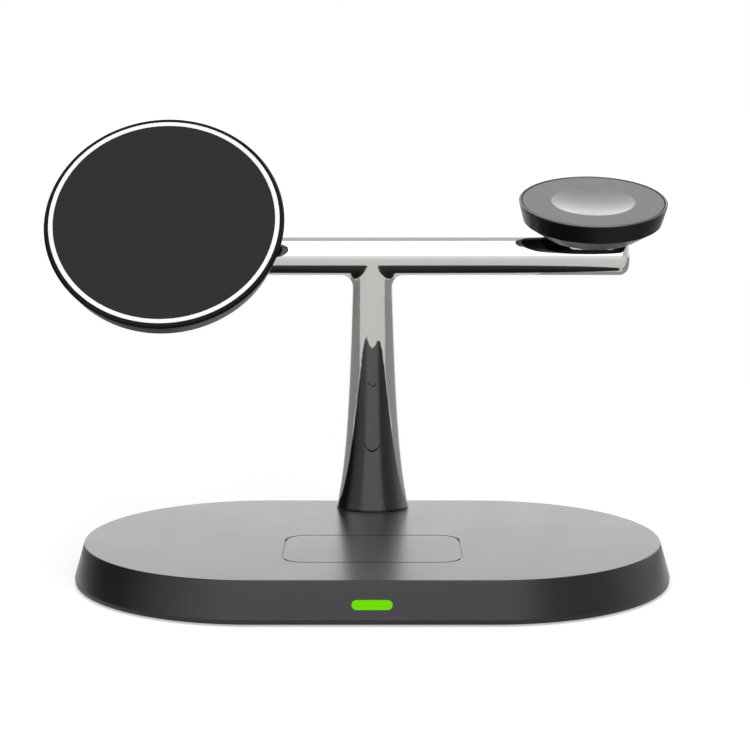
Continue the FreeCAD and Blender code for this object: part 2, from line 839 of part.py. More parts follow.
def make_base_inside():
    seat_z = recess_z + s.base_screw_head_thick
    bite = s.base_screw_seat + s.base_screw_bite
    screws = [
        screw(s.base_screw_head, s.base_screw_head_thick, s.base_screw_radius, bite, x, y, seat_z)
        for x, y in corner_points(s.base_screw_x, s.base_screw_y)
    ]
    finish_node(group(screws), "base_screws")

    weights = []
    hole_radius = s.base_screw_head + s.screw_cup_wall + s.weight_play
    for side in (1, -1):
        disc = cylinder(s.weight_radius, s.weight_thick, s.base_straight / 2 * side, 0.0, panel_top)
        middle = centred_box(s.weight_start_x * 2, s.weight_radius * 2, s.weight_thick, 0.0, 0.0, panel_top)
        holes = [
            cylinder(hole_radius, s.weight_thick, s.base_screw_x * side, s.base_screw_y * end, panel_top)
            for end in (1, -1)
        ]
        weights.append(cut(disc, middle, *holes))
    finish_node(group(weights), "counterweights")

    board = centred_box(s.board_width, s.board_length, s.board_thick, 0.0, board_y, board_z)
    holes = [
        cylinder(s.board_screw_radius + s.screw_play, s.board_thick, x, board_y + y, board_z)
        for x, y in corner_points(s.board_screw_x, board_screw_y)
    ]
    finish_node(cut(board, *holes), "main_board")
    screws = [
        screw(s.board_screw_head, s.board_screw_head_thick, s.board_screw_radius, s.board_screw_bite,
              x, board_y + y, board_top, turned=True)
        for x, y in corner_points(s.board_screw_x, board_screw_y)
    ]
    finish_node(group(screws), "board_screws")

    parts_y = board_y - s.parts_forward
    parts = [centred_box(s.chip_width, s.chip_width, s.chip_thick, 0.0, parts_y, board_top)]
    for side in (1, -1):
        parts.append(centred_box(s.inductor_width, s.inductor_width, s.inductor_thick,
                                 s.inductor_x * side, parts_y, board_top))
        for step in (0, 1):
            capacitor_y = parts_y + s.inductor_width + s.capacitor_pitch * step
            parts.append(centred_box(s.capacitor_length, s.capacitor_thick, s.capacitor_thick,
                                     s.inductor_x * side, capacitor_y, board_top))
    finish_node(group(parts), "board_parts")

    lamp_board = centred_box(s.lamp_board_width, s.lamp_board_length, s.board_thick,
                             0.0, lamp_board_y, board_z)
    finish_node(lamp_board, "indicator_board")
    lamp = centred_box(s.lamp_width, s.lamp_length, s.lamp_height, 0.0, lamp_y, board_top)
    finish_node(lamp, "indicator_lamp")
    finish_node(window_prism(0.0, s.window_depth), "indicator_window")


# Inlet socket: drawn metal shell round a plastic block with its contact tongue

def make_inlet():
    start_y = inlet_mouth_y - s.inlet_length
    outside = inlet_prism(0.0, start_y, s.inlet_length)
    inside = inlet_prism(-s.inlet_skin, start_y, s.inlet_length)
    finish_node(cut(outside, inside), "inlet_shell")
    block = inlet_prism(-s.inlet_skin, start_y, s.inlet_block)
    tongue_length = s.inlet_length - s.tongue_setback
    tongue = centred_box(s.tongue_width, tongue_length, s.tongue_thick, 0.0,
                         start_y + tongue_length / 2, inlet_z - s.tongue_thick / 2)
    finish_node(fused(block, tongue), "inlet_tongue")


# Earbud spot: coil under the ceiling with a ferrite sheet below it

def make_earbud_spot():
    coil_z = ceiling_z - s.earbud_coil_thick
    coil = ring(s.earbud_coil_inner, s.earbud_coil_outer, s.earbud_coil_thick, coil_z)
    finish_node(set_place(coil, y=s.spot_y), "earbud_coil")
    ferrite_z = coil_z - s.earbud_ferrite_thick
    ferrite = cylinder(s.earbud_ferrite_radius, s.earbud_ferrite_thick, 0.0, s.spot_y, ferrite_z)
    finish_node(ferrite, "earbud_ferrite")


# T stand: one casting, a flared oval post that leans forward and blends into a round crossbar

def on_post(item, share):
    """Puts a piece square to the post's lean, at a share of the way down from the crossbar's axis."""
    set_turn(item, X_AXIS, post_lean)
    return set_place(item, 0.0, s.bar_y + s.bar_forward * share, s.bar_z - post_rise * share)


def post_section(share):
    """One oval of the post."""
    taper = share ** TAPER_POWER
    width = s.post_top_width + s.post_taper_width * taper + s.post_flare_width * share ** FLARE_POWER
    depth = s.post_top_depth + s.post_taper_depth * taper
    oval = doc.addObject("Part::Ellipse", "post_section")
    bind(oval, "MajorRadius", width / 2)
    bind(oval, "MinorRadius", depth / 2)
    return on_post(oval, share)


def stadium_bar(length, width, height):
    """An upright bar with round ends, long along X."""
    prism = doc.addObject("PartDesign::Body", "stadium_bar")
    sketch = new_sketch(prism)
    add_stadium(sketch, length - width, width / 2)
    pad(prism, sketch, height)
    return prism


def make_t_stand():
    long_post = doc.addObject("Part::Loft", "long_post")
    long_post.Sections = [post_section(share) for share in POST_SECTIONS]
    long_post.Solid = True
    below_top = centred_box(s.base_bottom_radius, s.base_bottom_radius, s.base_height,
                            0.0, s.post_y, plate_bottom)
    post = cut(long_post, below_top)
    bar_length = s.bar_half_length - shoulder_x
    bar = cylinder(s.bar_radius, bar_length, shoulder_x, s.bar_y, s.bar_z, along="x")

    def is_at_joint(edge):
        box = edge.BoundBox
        near_post = box.XMin > shoulder_x.value + PICK_TOLERANCE and box.XMax < s.bar_radius.value * 2
        return near_post and box.ZMin > top_z.value + PICK_TOLERANCE

    tee = fillet(fused(post, bar), [
        (is_flat_at_x(s.bar_half_length), s.bar_end_round),
        (is_flat_at_x(shoulder_x), s.tilt_edge_round),
        (is_at_joint, s.joint_round),
    ])
    boss = on_watch_head(stadium_bar(s.watch_boss_length, s.watch_boss_width, watch_boss_top))

    def is_at_boss(edge):
        box = edge.BoundBox
        over_boss = box.XMin > s.watch_x.value - s.watch_boss_length.value
        on_bar = box.ZMax < s.bar_z.value + s.bar_radius.value + PICK_TOLERANCE
        return over_boss and on_bar and box.XMax < s.bar_half_length.value - PICK_TOLERANCE

    tee = fillet(fused(tee, boss), [(is_at_boss, s.watch_boss_round)])
    spigot_length = shoulder_x - spigot_end_x
    spigot = cylinder(s.spigot_radius, spigot_length, spigot_end_x, s.bar_y, s.bar_z, along="x")
    solid = fused(tee, spigot)

    bore_length = s.watch_x + s.bar_bore_past - spigot_end_x
    bar_bore = cylinder(s.bar_bore, bore_length, spigot_end_x, s.bar_y, s.bar_z, along="x")
    post_bore = on_post(cylinder(s.post_bore, post_length * POST_SECTIONS[0]), POST_SECTIONS[0])
    lead_slot = centred_box(s.lead_slot_width, s.spigot_radius * 2, s.spigot_radius * 2,
                            s.phone_x, s.bar_y - s.spigot_radius, s.bar_z - s.spigot_radius)
    watch_bore = on_watch_head(cylinder(s.watch_bore, watch_boss_top))
    tools = [bar_bore, post_bore, lead_slot, watch_bore]
    for side in (1, -1):
        tools.append(cylinder(s.stand_screw_radius + s.screw_play, s.stand_screw_bite,
                              s.stand_screw_x * side, s.post_y, top_z))
        thread = cylinder(s.watch_screw_radius + s.screw_play, s.watch_screw_bite,
                          s.watch_screw_x * side, 0.0, watch_boss_top - s.watch_screw_bite)
        tools.append(on_watch_head(group([thread])))
    finish_node(cut(solid, *tools), "t_stand")

    bite = s.base_top_wall + s.stand_screw_bite
    screws = [
        screw(s.stand_screw_head, s.stand_screw_head_thick, s.stand_screw_radius, bite,
              s.stand_screw_x * side, s.post_y, ceiling_z)
        for side in (1, -1)
    ]
    finish_node(group(screws), "stand_screws")


# Tilt joint: end cap and washers on the spigot

def make_tilt_joint():
    cap_length = s.bar_half_length + spigot_end_x
    cap = cylinder(s.bar_radius, cap_length, -s.bar_half_length, s.bar_y, s.bar_z, along="x")
    rounded_cap = fillet(cap, [
        (is_flat_at_x(-s.bar_half_length), s.bar_end_round),
        (is_flat_at_x(spigot_end_x), s.tilt_edge_round),
    ])
    plug = cylinder(s.bar_bore - s.screw_play, s.cap_plug, spigot_end_x, s.bar_y, s.bar_z, along="x")
    finish_node(fused(rounded_cap, plug), "bar_end_cap")

    washers = []
    outer_radius = s.bar_radius - s.washer_rim
    inner_radius = s.spigot_radius + s.tilt_clearance
    for start_x in (spigot_end_x, shoulder_x - s.washer_thick):
        outer = cylinder(outer_radius, s.washer_thick, start_x, s.bar_y, s.bar_z, along="x")
        inner = cylinder(inner_radius, s.washer_thick, start_x, s.bar_y, s.bar_z, along="x")
        washers.append(cut(outer, inner))
    finish_node(group(washers), "tilt_washers")


# Phone neck: sleeve as thick as the crossbar with a flanged stem to the back of the head

def set_turned_ring(item, turn):
    """Wraps an object so that it can be turned about the Z axis."""
    return set_turn(group([item]), Z_AXIS, turn)


def make_phone_neck():
    flange_top = s.phone_reach - s.phone_depth
    flange_low = flange_top - s.neck_flange_thick
    sleeve_start = -(s.sleeve_length / 2)
    sleeve = cylinder(s.bar_radius, s.sleeve_length, sleeve_start, along="x")
    stem = cone(s.neck_radius, s.neck_top_radius, flange_low, 0.0)
    flange = cylinder(s.neck_flange_radius, s.neck_flange_thick, z=flange_low)
    blank = fillet(fused(sleeve, stem, flange), [
        (is_flat_at_x(sleeve_start, s.sleeve_length / 2), s.tilt_edge_round),
        (is_circle_at(flange_low, s.neck_flange_radius), s.neck_flange_round),
        (is_circle_at(flange_low, s.neck_top_radius), s.neck_flange_round),
    ])
    bore = cylinder(s.spigot_radius + s.tilt_clearance, s.sleeve_length, sleeve_start, along="x")
    lead_hole = cylinder(s.neck_bore, flange_top)
    threads = [
        set_turned_ring(cylinder(s.neck_screw_radius + s.screw_play, s.neck_screw_bite,
                                 s.neck_screw_ring, 0.0, flange_top - s.neck_screw_bite), turn)
        for turn in NECK_SCREW_TURNS
    ]
    finish_node(on_phone_head(cut(blank, bore, lead_hole, *threads)), "phone_neck")

    screws = [
        set_turned_ring(screw(s.neck_screw_head, s.neck_screw_head_thick, s.neck_screw_radius,
                              s.phone_wall + s.neck_screw_bite, s.neck_screw_ring, 0.0,
                              flange_top + s.phone_wall, turned=True), turn)
        for turn in NECK_SCREW_TURNS
    ]
    finish_node(on_phone_head(group(screws)), "phone_neck_screws")


# Phone head: rear shell, front ring, white ring, face and the charging parts inside

def make_phone_head():
    face = s.phone_reach
    back = face - s.phone_depth
    floor = back + s.phone_wall
    ledge_top = face - s.phone_face_thick
    ledge_low = ledge_top - s.phone_ledge_thick
    tray_z = ledge_top - s.magnet_thick - s.tray_thick
    seam = face - s.phone_seam_depth
    side_slope = (s.phone_side_radius - s.phone_back_radius) / (s.phone_back_depth - s.phone_rim_drop)
    seam_radius = s.phone_side_radius - side_slope * (s.phone_seam_depth - s.phone_rim_drop)
    shell_rim = seam - s.phone_seam_gap
    shell_rim_radius = seam_radius - side_slope * s.phone_seam_gap

    front = new_body("phone_front_ring")
    revolve(front, [
        (s.phone_seat_radius, face),
        (s.phone_rim_radius, face),
        (s.phone_side_radius, face - s.phone_rim_drop),
        (seam_radius, seam),
        (shell_rim_radius - s.phone_wall, seam),
        (shell_rim_radius - s.phone_wall, ledge_low),
        (s.phone_ledge_inner, ledge_low),
        (s.phone_ledge_inner, ledge_top),
        (s.phone_seat_radius, ledge_top),
    ])
    rim_edges = (
        is_circle_at(face, s.phone_rim_radius),
        is_circle_at(face - s.phone_rim_drop, s.phone_side_radius),
    )
    round_edges(front, s.phone_rim_round, lambda edge: any(pick(edge) for pick in rim_edges))
    on_phone_head(front)

    shell = new_body("phone_rear_shell")
    inner_radius = shell_rim_radius - s.phone_wall + s.phone_fit
    revolve(shell, [
        (inner_radius, shell_rim),
        (shell_rim_radius, shell_rim),
        (s.phone_back_radius, face - s.phone_back_depth),
        (s.phone_back_flat, back),
        (s.neck_bore, back),
        (s.neck_bore, floor),
        (s.rib_inner, floor),
        (s.rib_inner, tray_z),
        (s.rib_outer, tray_z),
        (s.rib_outer, floor),
        (s.phone_back_flat, floor),
        (s.phone_back_radius - s.phone_wall, face - s.phone_back_depth + s.phone_wall),
        (inner_radius, ledge_low - s.phone_wall),
    ])
    back_edges = (
        is_circle_at(face - s.phone_back_depth, s.phone_back_radius),
        is_circle_at(back, s.phone_back_flat),
    )
    round_edges(shell, s.phone_back_round, lambda edge: any(pick(edge) for pick in back_edges))
    posts = new_sketch(shell, lift=floor)
    post_place = s.phone_post_ring / math.sqrt(2)
    for x, y in corner_points(post_place, post_place):
        add_circle(posts, s.phone_post_radius, x, y)
    pad(shell, posts, s.phone_post_height)
    holes = new_sketch(shell, lift=back)
    for turn in NECK_SCREW_TURNS:
        angle = math.radians(turn)
        add_circle(holes, s.neck_screw_radius + s.screw_play,
                   s.neck_screw_ring * math.cos(angle), s.neck_screw_ring * math.sin(angle))
    pocket(shell, holes, s.phone_wall)
    on_phone_head(shell)

    white = ring(s.ring_inner_radius, s.ring_outer_radius, s.phone_face_thick, ledge_top)
    finish_node(on_phone_head(white), "phone_white_ring")
    disc = cylinder(s.phone_face_radius, s.phone_face_thick, z=ledge_top)
    finish_node(on_phone_head(group([disc])), "phone_face")

    tray = ring(s.tray_inner, s.tray_outer, s.tray_thick, tray_z)
    finish_node(on_phone_head(tray), "phone_magnet_tray")

    magnet_z = ledge_top - s.magnet_thick
    magnet_ring = ring(s.magnet_inner, s.magnet_outer, s.magnet_thick, magnet_z)
    gap_length = s.magnet_outer - s.magnet_inner + s.magnet_gap * 2
    gap_radius = (s.magnet_inner + s.magnet_outer) / 2
    gaps = []
    for place in range(int(s.magnet_count.value)):
        gap = centred_box(gap_length, s.magnet_gap, s.magnet_thick, gap_radius, 0.0, magnet_z)
        gaps.append(set_turned_ring(gap, FULL_TURN * place / s.magnet_count.value))
    finish_node(on_phone_head(cut(magnet_ring, *gaps)), "phone_magnets")

    coil = ring(s.phone_coil_inner, s.phone_coil_outer, s.phone_coil_thick, ledge_top - s.phone_coil_thick)
    finish_node(on_phone_head(coil), "phone_coil")
    ferrite_z = ledge_top - s.phone_coil_thick - s.phone_ferrite_thick
    ferrite = cylinder(s.phone_ferrite_radius, s.phone_ferrite_thick, z=ferrite_z)
    finish_node(on_phone_head(group([ferrite])), "phone_ferrite")
    board = cylinder(s.phone_board_radius, s.phone_board_thick, z=floor + s.phone_post_height)
    finish_node(on_phone_head(group([board])), "phone_board")


# Watch head: tapered housing, dished face, bottom cover and the charging parts inside

def make_watch_head():
    face = s.watch_reach
    low = face - s.watch_side_depth
    bottom = face - s.watch_depth
    floor = bottom + s.watch_floor_thick
    seat = face - s.watch_face_sunk - s.watch_face_thick

    housing = new_body("watch_housing")
    revolve(housing, [
        (s.watch_recess_radius, face),
        (s.watch_rim_radius, face),
        (s.watch_low_radius, low),
        (s.watch_inner_radius, low),
        (s.watch_inner_radius, seat),
        (s.watch_recess_radius, seat),
    ])
    rim_edges = (is_circle_at(face, s.watch_rim_radius), is_circle_at(face, s.watch_recess_radius))
    round_edges(housing, s.watch_rim_round, lambda edge: any(pick(edge) for pick in rim_edges))
    on_watch_head(housing)

    disc_top = face - s.watch_face_sunk
    boss_low = disc_top - s.dish_depth - s.dish_floor_thick
    disc = fused(cylinder(s.watch_face_radius, s.watch_face_thick, z=seat),
                 cylinder(s.dish_boss_radius, disc_top - boss_low, z=boss_low))
    ball_radius = (s.dish_radius * s.dish_radius + s.dish_depth * s.dish_depth) / (s.dish_depth * 2)
    ball = doc.addObject("Part::Sphere", "dish_ball")
    bind(ball, "Radius", ball_radius)
    set_place(ball, z=disc_top - s.dish_depth + ball_radius)
    finish_node(on_watch_head(cut(disc, ball)), "watch_face")

    cover = new_body("watch_bottom_cover")
    lip_radius = s.watch_inner_radius - s.watch_lip_play
    flat_inner = s.watch_flat_radius - s.watch_floor_thick
    rib_top = boss_low - s.watch_coil_thick - s.watch_ferrite_thick - s.watch_board_thick
    revolve(cover, [
        (lip_radius - s.watch_lip_thick, low + s.watch_lip_thick),
        (lip_radius, low + s.watch_lip_thick),
        (lip_radius, low),
        (s.watch_low_radius, low),
        (s.watch_flat_radius, bottom),
        (s.watch_bore, bottom),
        (s.watch_bore, floor),
        (s.watch_rib_inner, floor),
        (s.watch_rib_inner, rib_top),
        (s.watch_rib_outer, rib_top),
        (s.watch_rib_outer, floor),
        (flat_inner, floor),
        (lip_radius - s.watch_lip_thick, low),
    ])
    holes = new_sketch(cover, lift=bottom)
    for side in (1, -1):
        add_circle(holes, s.watch_screw_radius + s.screw_play, s.watch_screw_x * side, 0.0)
    pocket(cover, holes, s.watch_floor_thick)
    on_watch_head(cover)

    coil_z = boss_low - s.watch_coil_thick
    coil = ring(s.watch_coil_inner, s.watch_coil_outer, s.watch_coil_thick, coil_z)
    finish_node(on_watch_head(coil), "watch_coil")
    magnet = cylinder(s.watch_magnet_radius, s.watch_magnet_thick, z=boss_low - s.watch_magnet_thick)
    finish_node(on_watch_head(group([magnet])), "watch_magnet")
    ferrite_z = coil_z - s.watch_ferrite_thick
    ferrite = ring(s.watch_coil_inner, s.watch_coil_outer, s.watch_ferrite_thick, ferrite_z)
    finish_node(on_watch_head(ferrite), "watch_ferrite")
    board = cylinder(s.watch_board_radius, s.watch_board_thick, z=rib_top)
    finish_node(on_watch_head(group([board])), "watch_board")

    screws = [
        screw(s.watch_screw_head, s.watch_screw_head_thick, s.watch_screw_radius,
              s.watch_floor_thick + s.watch_screw_bite, s.watch_screw_x * side, 0.0, floor, turned=True)
        for side in (1, -1)
    ]
    finish_node(on_watch_head(group(screws)), "watch_screws")


# Leads: from the main board up the post and along the crossbar to each head

def make_lead(label, points, bend):
    """A round lead along straight runs joined by arcs of one radius."""
    vectors = [FreeCAD.Vector(*point) for point in points]
    edges = []
    start = vectors[0]
    for before, corner, after in zip(vectors, vectors[1:], vectors[2:]):
        towards = (after - corner).normalize()
        back = (before - corner).normalize()
        half_turn = back.getAngle(towards) / 2
        leg = bend / math.tan(half_turn)
        arc_start = corner + back * leg
        arc_end = corner + towards * leg
        inwards = (back + towards).normalize()
        middle = corner + inwards * (bend / math.sin(half_turn) - bend)
        edges.append(Part.LineSegment(start, arc_start).toShape())
        edges.append(Part.Arc(arc_start, middle, arc_end).toShape())
        start = arc_end
    edges.append(Part.LineSegment(start, vectors[-1]).toShape())
    section = Part.Circle(vectors[0], vectors[1] - vectors[0], s.lead_radius.value).toShape()
    path = Part.Wire(edges)
    lead = doc.addObject("Part::Feature", label)
    lead.Shape = path.makePipeShell([Part.Wire([section])], True, True)
    return finish_node(lead, label)


def make_leads():
    post_y = s.post_y.value
    bar_y = s.bar_y.value
    bar_z = s.bar_z.value
    side = s.lead_side.value
    bend = s.lead_bend.value
    foot = board_top.value
    post_foot = top_z.value
    phone_end = (s.phone_x.value, bar_y, bar_z)
    make_lead("phone_lead", [
        (-side, post_y, foot),
        (-side, post_y, post_foot),
        (-side, bar_y, bar_z),
        phone_end,
    ], bend)
    lean = math.radians(watch_lean.value)
    rise = s.watch_reach.value - s.watch_depth.value + s.watch_floor_thick.value
    watch_end = (s.watch_x.value, bar_y - rise * math.sin(lean), bar_z + rise * math.cos(lean))
    watch_turn = (s.watch_x.value, bar_y, bar_z)
    make_lead("watch_lead", [
        (side, post_y, foot),
        (side, post_y, post_foot),
        (side, bar_y, bar_z),
        watch_turn,
        watch_end,
    ], bend)
    tail_start = s.lead_radius + s.lead_gap
    tail_end = s.phone_reach - s.phone_depth + s.phone_wall + s.phone_post_height
    tail = cylinder(s.lead_radius, tail_end - tail_start, z=tail_start)
    finish_node(on_phone_head(group([tail])), "phone_lead_tail")


make_base_housing()
make_base_plate()
make_mat()
make_base_inside()
make_inlet()
make_earbud_spot()
make_t_stand()
make_tilt_joint()
make_phone_neck()
make_phone_head()
make_watch_head()
make_leads()
doc.recompute()

# Every object must be sound before anything is written
for item in doc.Objects:
    if "Invalid" in item.State or "Error" in item.State:
        raise ValueError(f"{item.Name} ({item.Label}) failed: {item.State}")
for item in nodes:
    if item.Shape.isNull() or not item.Shape.isValid() or not item.Shape.Solids:
        raise ValueError(f"{item.Label} has no sound solid")

os.makedirs("parts", exist_ok=True)
for item in nodes:
    item.Shape.exportStep(f"parts/{item.Label}.step")
    print(item.Label, len(item.Shape.Solids), "solids", round(item.Shape.Volume, 1), "mm3")
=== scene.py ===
import bmesh
import bpy
import json
import math
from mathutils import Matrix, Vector


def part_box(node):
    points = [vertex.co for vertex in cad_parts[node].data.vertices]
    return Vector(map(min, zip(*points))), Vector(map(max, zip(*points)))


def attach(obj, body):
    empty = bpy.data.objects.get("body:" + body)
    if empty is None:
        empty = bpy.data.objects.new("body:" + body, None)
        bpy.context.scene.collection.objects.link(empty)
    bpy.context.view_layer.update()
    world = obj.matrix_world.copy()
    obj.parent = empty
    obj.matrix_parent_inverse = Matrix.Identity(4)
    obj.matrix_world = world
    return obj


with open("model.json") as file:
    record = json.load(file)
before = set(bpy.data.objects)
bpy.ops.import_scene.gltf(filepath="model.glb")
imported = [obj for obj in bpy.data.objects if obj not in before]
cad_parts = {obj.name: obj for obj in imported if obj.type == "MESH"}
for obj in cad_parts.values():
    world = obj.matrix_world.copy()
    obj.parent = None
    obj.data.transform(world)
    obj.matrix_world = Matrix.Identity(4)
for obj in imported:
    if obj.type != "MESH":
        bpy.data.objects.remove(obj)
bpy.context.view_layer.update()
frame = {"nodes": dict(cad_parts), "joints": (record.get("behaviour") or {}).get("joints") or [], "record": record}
nodes = frame["nodes"]

# Anti-slip mat: a die-cut sheet of matt black silicone, stuck in the recess of the bottom plate.
# The whole station stands on it, and a fine pattern of cast dots gives it grip.

MM = 0.001
BLOTCH_DETAIL = 4.0

# The Mix node's colour sockets go by number, because its sockets for plain values have the same names.
MIX_FACTOR = 0
MIX_DARK = 6
MIX_LIGHT = 7
MIX_RESULT = 2


def new_finish(name):
    """A material with one shader, for a finish to be built on."""
    material = bpy.data.materials.new(name)
    material.use_nodes = True
    tree = material.node_tree
    return material, tree, tree.nodes["Principled BSDF"]


def add_node(tree, kind, **settings):
    """A new node with its settings made."""
    node = tree.nodes.new(kind)
    for setting, value in settings.items():
        setattr(node, setting, value)
    return node


def piece_place(tree, centre=(0.0, 0.0, 0.0), lean=0.0):
    """Points of the piece in its own frame, counted from a centre and a lean about X."""
    place = add_node(tree, "ShaderNodeTexCoord").outputs["Object"]
    mapping = add_node(tree, "ShaderNodeMapping", vector_type="TEXTURE")
    mapping.inputs["Location"].default_value = centre
    mapping.inputs["Rotation"].default_value = (lean, 0.0, 0.0)
    tree.links.new(place, mapping.inputs["Vector"])
    return mapping.outputs["Vector"]


def mottle(tree, size, detail=2.0):
    """Soft random blotches about as large as the size."""
    noise = add_node(tree, "ShaderNodeTexNoise")
    noise.inputs["Scale"].default_value = 1.0 / size
    noise.inputs["Detail"].default_value = detail
    tree.links.new(piece_place(tree), noise.inputs["Vector"])
    return noise.outputs["Fac"]


def dots(tree, pitch, scatter):
    """Distance to the nearest of the dots in a slightly scattered grid of that pitch."""
    cells = add_node(tree, "ShaderNodeTexVoronoi", feature="F1")
    cells.inputs["Scale"].default_value = 1.0 / pitch
    cells.inputs["Randomness"].default_value = scatter
    tree.links.new(piece_place(tree), cells.inputs["Vector"])
    return cells.outputs["Distance"]


def spread(tree, source, low, high, start=0.0, end=1.0):
    """The source stretched from start..end to low..high."""
    span = add_node(tree, "ShaderNodeMapRange")
    span.inputs["From Min"].default_value = start
    span.inputs["From Max"].default_value = end
    span.inputs["To Min"].default_value = low
    span.inputs["To Max"].default_value = high
    tree.links.new(source, span.inputs["Value"])
    return span.outputs["Result"]


def shades(tree, source, dark, light):
    """A colour that goes from dark to light with the source."""
    mix = add_node(tree, "ShaderNodeMix", data_type="RGBA")
    mix.inputs[MIX_DARK].default_value = (*dark, 1.0)
    mix.inputs[MIX_LIGHT].default_value = (*light, 1.0)
    tree.links.new(source, mix.inputs[MIX_FACTOR])
    return mix.outputs[MIX_RESULT]


def raise_grain(tree, shader, height, depth):
    """Bumps of that depth on the surface, in metres."""
    bump = add_node(tree, "ShaderNodeBump")
    bump.inputs["Distance"].default_value = depth
    tree.links.new(height, bump.inputs["Height"])
    tree.links.new(bump.outputs["Normal"], shader.inputs["Normal"])


def mottled_finish(name, dark, light, smooth, rough, blotch, gloss=0.5, tint=(1.0, 1.0, 1.0)):
    """A finish whose colour and roughness vary a little in blotches."""
    material, tree, shader = new_finish(name)
    patches = mottle(tree, blotch, BLOTCH_DETAIL)
    tree.links.new(shades(tree, patches, dark, light), shader.inputs["Base Color"])
    tree.links.new(spread(tree, patches, smooth, rough), shader.inputs["Roughness"])
    shader.inputs["Specular IOR Level"].default_value = gloss
    shader.inputs["Specular Tint"].default_value = (*tint, 1.0)
    return material, tree, shader


def dress(material, *names):
    """Gives CAD pieces their finish."""
    for name in names:
        nodes[name].material_slots[0].material = material


MAT_DARK = (0.018, 0.018, 0.019)
MAT_LIGHT = (0.03, 0.03, 0.031)
DOT_PITCH = 1.2 * MM
DOT_SCATTER = 0.15
DOT_TOP = 0.1
DOT_FOOT = 0.45
DOT_DEPTH = 0.08 * MM
silicone, tree, shader = mottled_finish("silicone_mat", MAT_DARK, MAT_LIGHT, smooth=0.7, rough=0.85,
                                        blotch=6 * MM, gloss=0.3)
dot_shape = spread(tree, dots(tree, DOT_PITCH, DOT_SCATTER), low=1.0, high=0.0, start=DOT_TOP, end=DOT_FOOT)
raise_grain(tree, shader, dot_shape, DOT_DEPTH)
dress(silicone, "anti_slip_mat")

# Bottom plate and base housing: two mouldings of black plastic, screwed together at a fine seam.
# The tool is lightly spark-eroded, so the skin is satin with a very fine grain.

SHELL_DARK = (0.0068, 0.0056, 0.0068)
SHELL_LIGHT = (0.0098, 0.0084, 0.0098)
SHELL_TINT = (1.0, 0.965, 1.0)
SHELL_BLOTCH = 14 * MM
SHELL_GRAIN = 0.18 * MM
SHELL_GRAIN_DEPTH = 0.0006 * MM


def fine_grain(tree, shader, size, depth):
    """Random grain of that size and depth on the surface."""
    raise_grain(tree, shader, mottle(tree, size), depth)


def moulded_black(name, dark, light, smooth, rough, gloss):
    """Black plastic with the fine grain of its mould."""
    material, tree, shader = mottled_finish(name, dark, light, smooth, rough, SHELL_BLOTCH,
                                            gloss, SHELL_TINT)
    fine_grain(tree, shader, SHELL_GRAIN, SHELL_GRAIN_DEPTH)
    return material


base_black = moulded_black("base_shell_plastic", SHELL_DARK, SHELL_LIGHT,
                           smooth=0.28, rough=0.33, gloss=0.235)
dress(base_black, "base_housing")
plate_black = moulded_black("base_plate_plastic", SHELL_DARK, SHELL_LIGHT,
                            smooth=0.38, rough=0.44, gloss=0.3)
dress(plate_black, "base_plate")

# Screws: cold headed from steel wire with a cross recess, and zinc plated.
# Four hold the plate to the housing under the mat, two pull the stand down from inside,
# three hold the phone head's neck, two the watch head and four the main board.

ZINC_DARK = (0.42, 0.42, 0.43)
ZINC_LIGHT = (0.58, 0.58, 0.57)
METAL_BLOTCH = 1.5 * MM


def grained_metal(name, dark, light, smooth, rough, grain, depth):
    """Bare or plated metal with a grain of that size and depth."""
    material, tree, shader = mottled_finish(name, dark, light, smooth, rough, METAL_BLOTCH)
    shader.inputs["Metallic"].default_value = 1.0
    fine_grain(tree, shader, grain, depth)
    return material


zinc = grained_metal("zinc_plate", ZINC_DARK, ZINC_LIGHT, smooth=0.22, rough=0.36,
                     grain=0.1 * MM, depth=0.002 * MM)
dress(zinc, "base_screws", "stand_screws", "phone_neck_screws", "watch_screws", "board_screws")

# Counterweights: two steel plates, flame cut and oiled, one in each round end of the base.
# They lie on the bottom plate under the screw cups and keep the station from tipping.

WEIGHT_DARK = (0.12, 0.12, 0.125)
WEIGHT_LIGHT = (0.26, 0.25, 0.24)
oiled_steel = grained_metal("oiled_steel", WEIGHT_DARK, WEIGHT_LIGHT, smooth=0.35, rough=0.55,
                            grain=0.6 * MM, depth=0.02 * MM)
dress(oiled_steel, "counterweights")

# Boards: glass-fibre sheets under green solder mask, with raised copper tracks below it.
# The main board and the lamp board stand on the plate's pins, the other two sit in the heads.

MASK_DARK = (0.008, 0.075, 0.028)
MASK_LIGHT = (0.02, 0.17, 0.06)
TRACK_PITCH = 1.6 * MM
TRACK_HEIGHT = 0.035 * MM

# The pattern's unit holds this many rows. The run and the edge of a track are counted in that unit.
TRACK_ROWS = 4
TRACK_RUN = 1.7
TRACK_EDGE = 0.03
TRACK_SOFT = 0.4


def tracks(tree, pitch):
    """Narrow copper tracks in rows of that pitch, broken at staggered places."""
    rows = add_node(tree, "ShaderNodeTexBrick")
    rows.inputs["Scale"].default_value = 1.0 / (TRACK_ROWS * pitch)
    rows.inputs["Row Height"].default_value = 1.0 / TRACK_ROWS
    rows.inputs["Brick Width"].default_value = TRACK_RUN
    rows.inputs["Mortar Size"].default_value = TRACK_EDGE
    rows.inputs["Mortar Smooth"].default_value = TRACK_SOFT
    tree.links.new(piece_place(tree), rows.inputs["Vector"])
    return rows.outputs["Fac"]


solder_mask, tree, shader = new_finish("solder_mask")
copper_lines = tracks(tree, TRACK_PITCH)
tree.links.new(shades(tree, copper_lines, MASK_DARK, MASK_LIGHT), shader.inputs["Base Color"])
tree.links.new(spread(tree, mottle(tree, size=2 * MM), low=0.22, high=0.4), shader.inputs["Roughness"])
raise_grain(tree, shader, copper_lines, TRACK_HEIGHT)
dress(solder_mask, "main_board", "indicator_board", "phone_board", "watch_board")

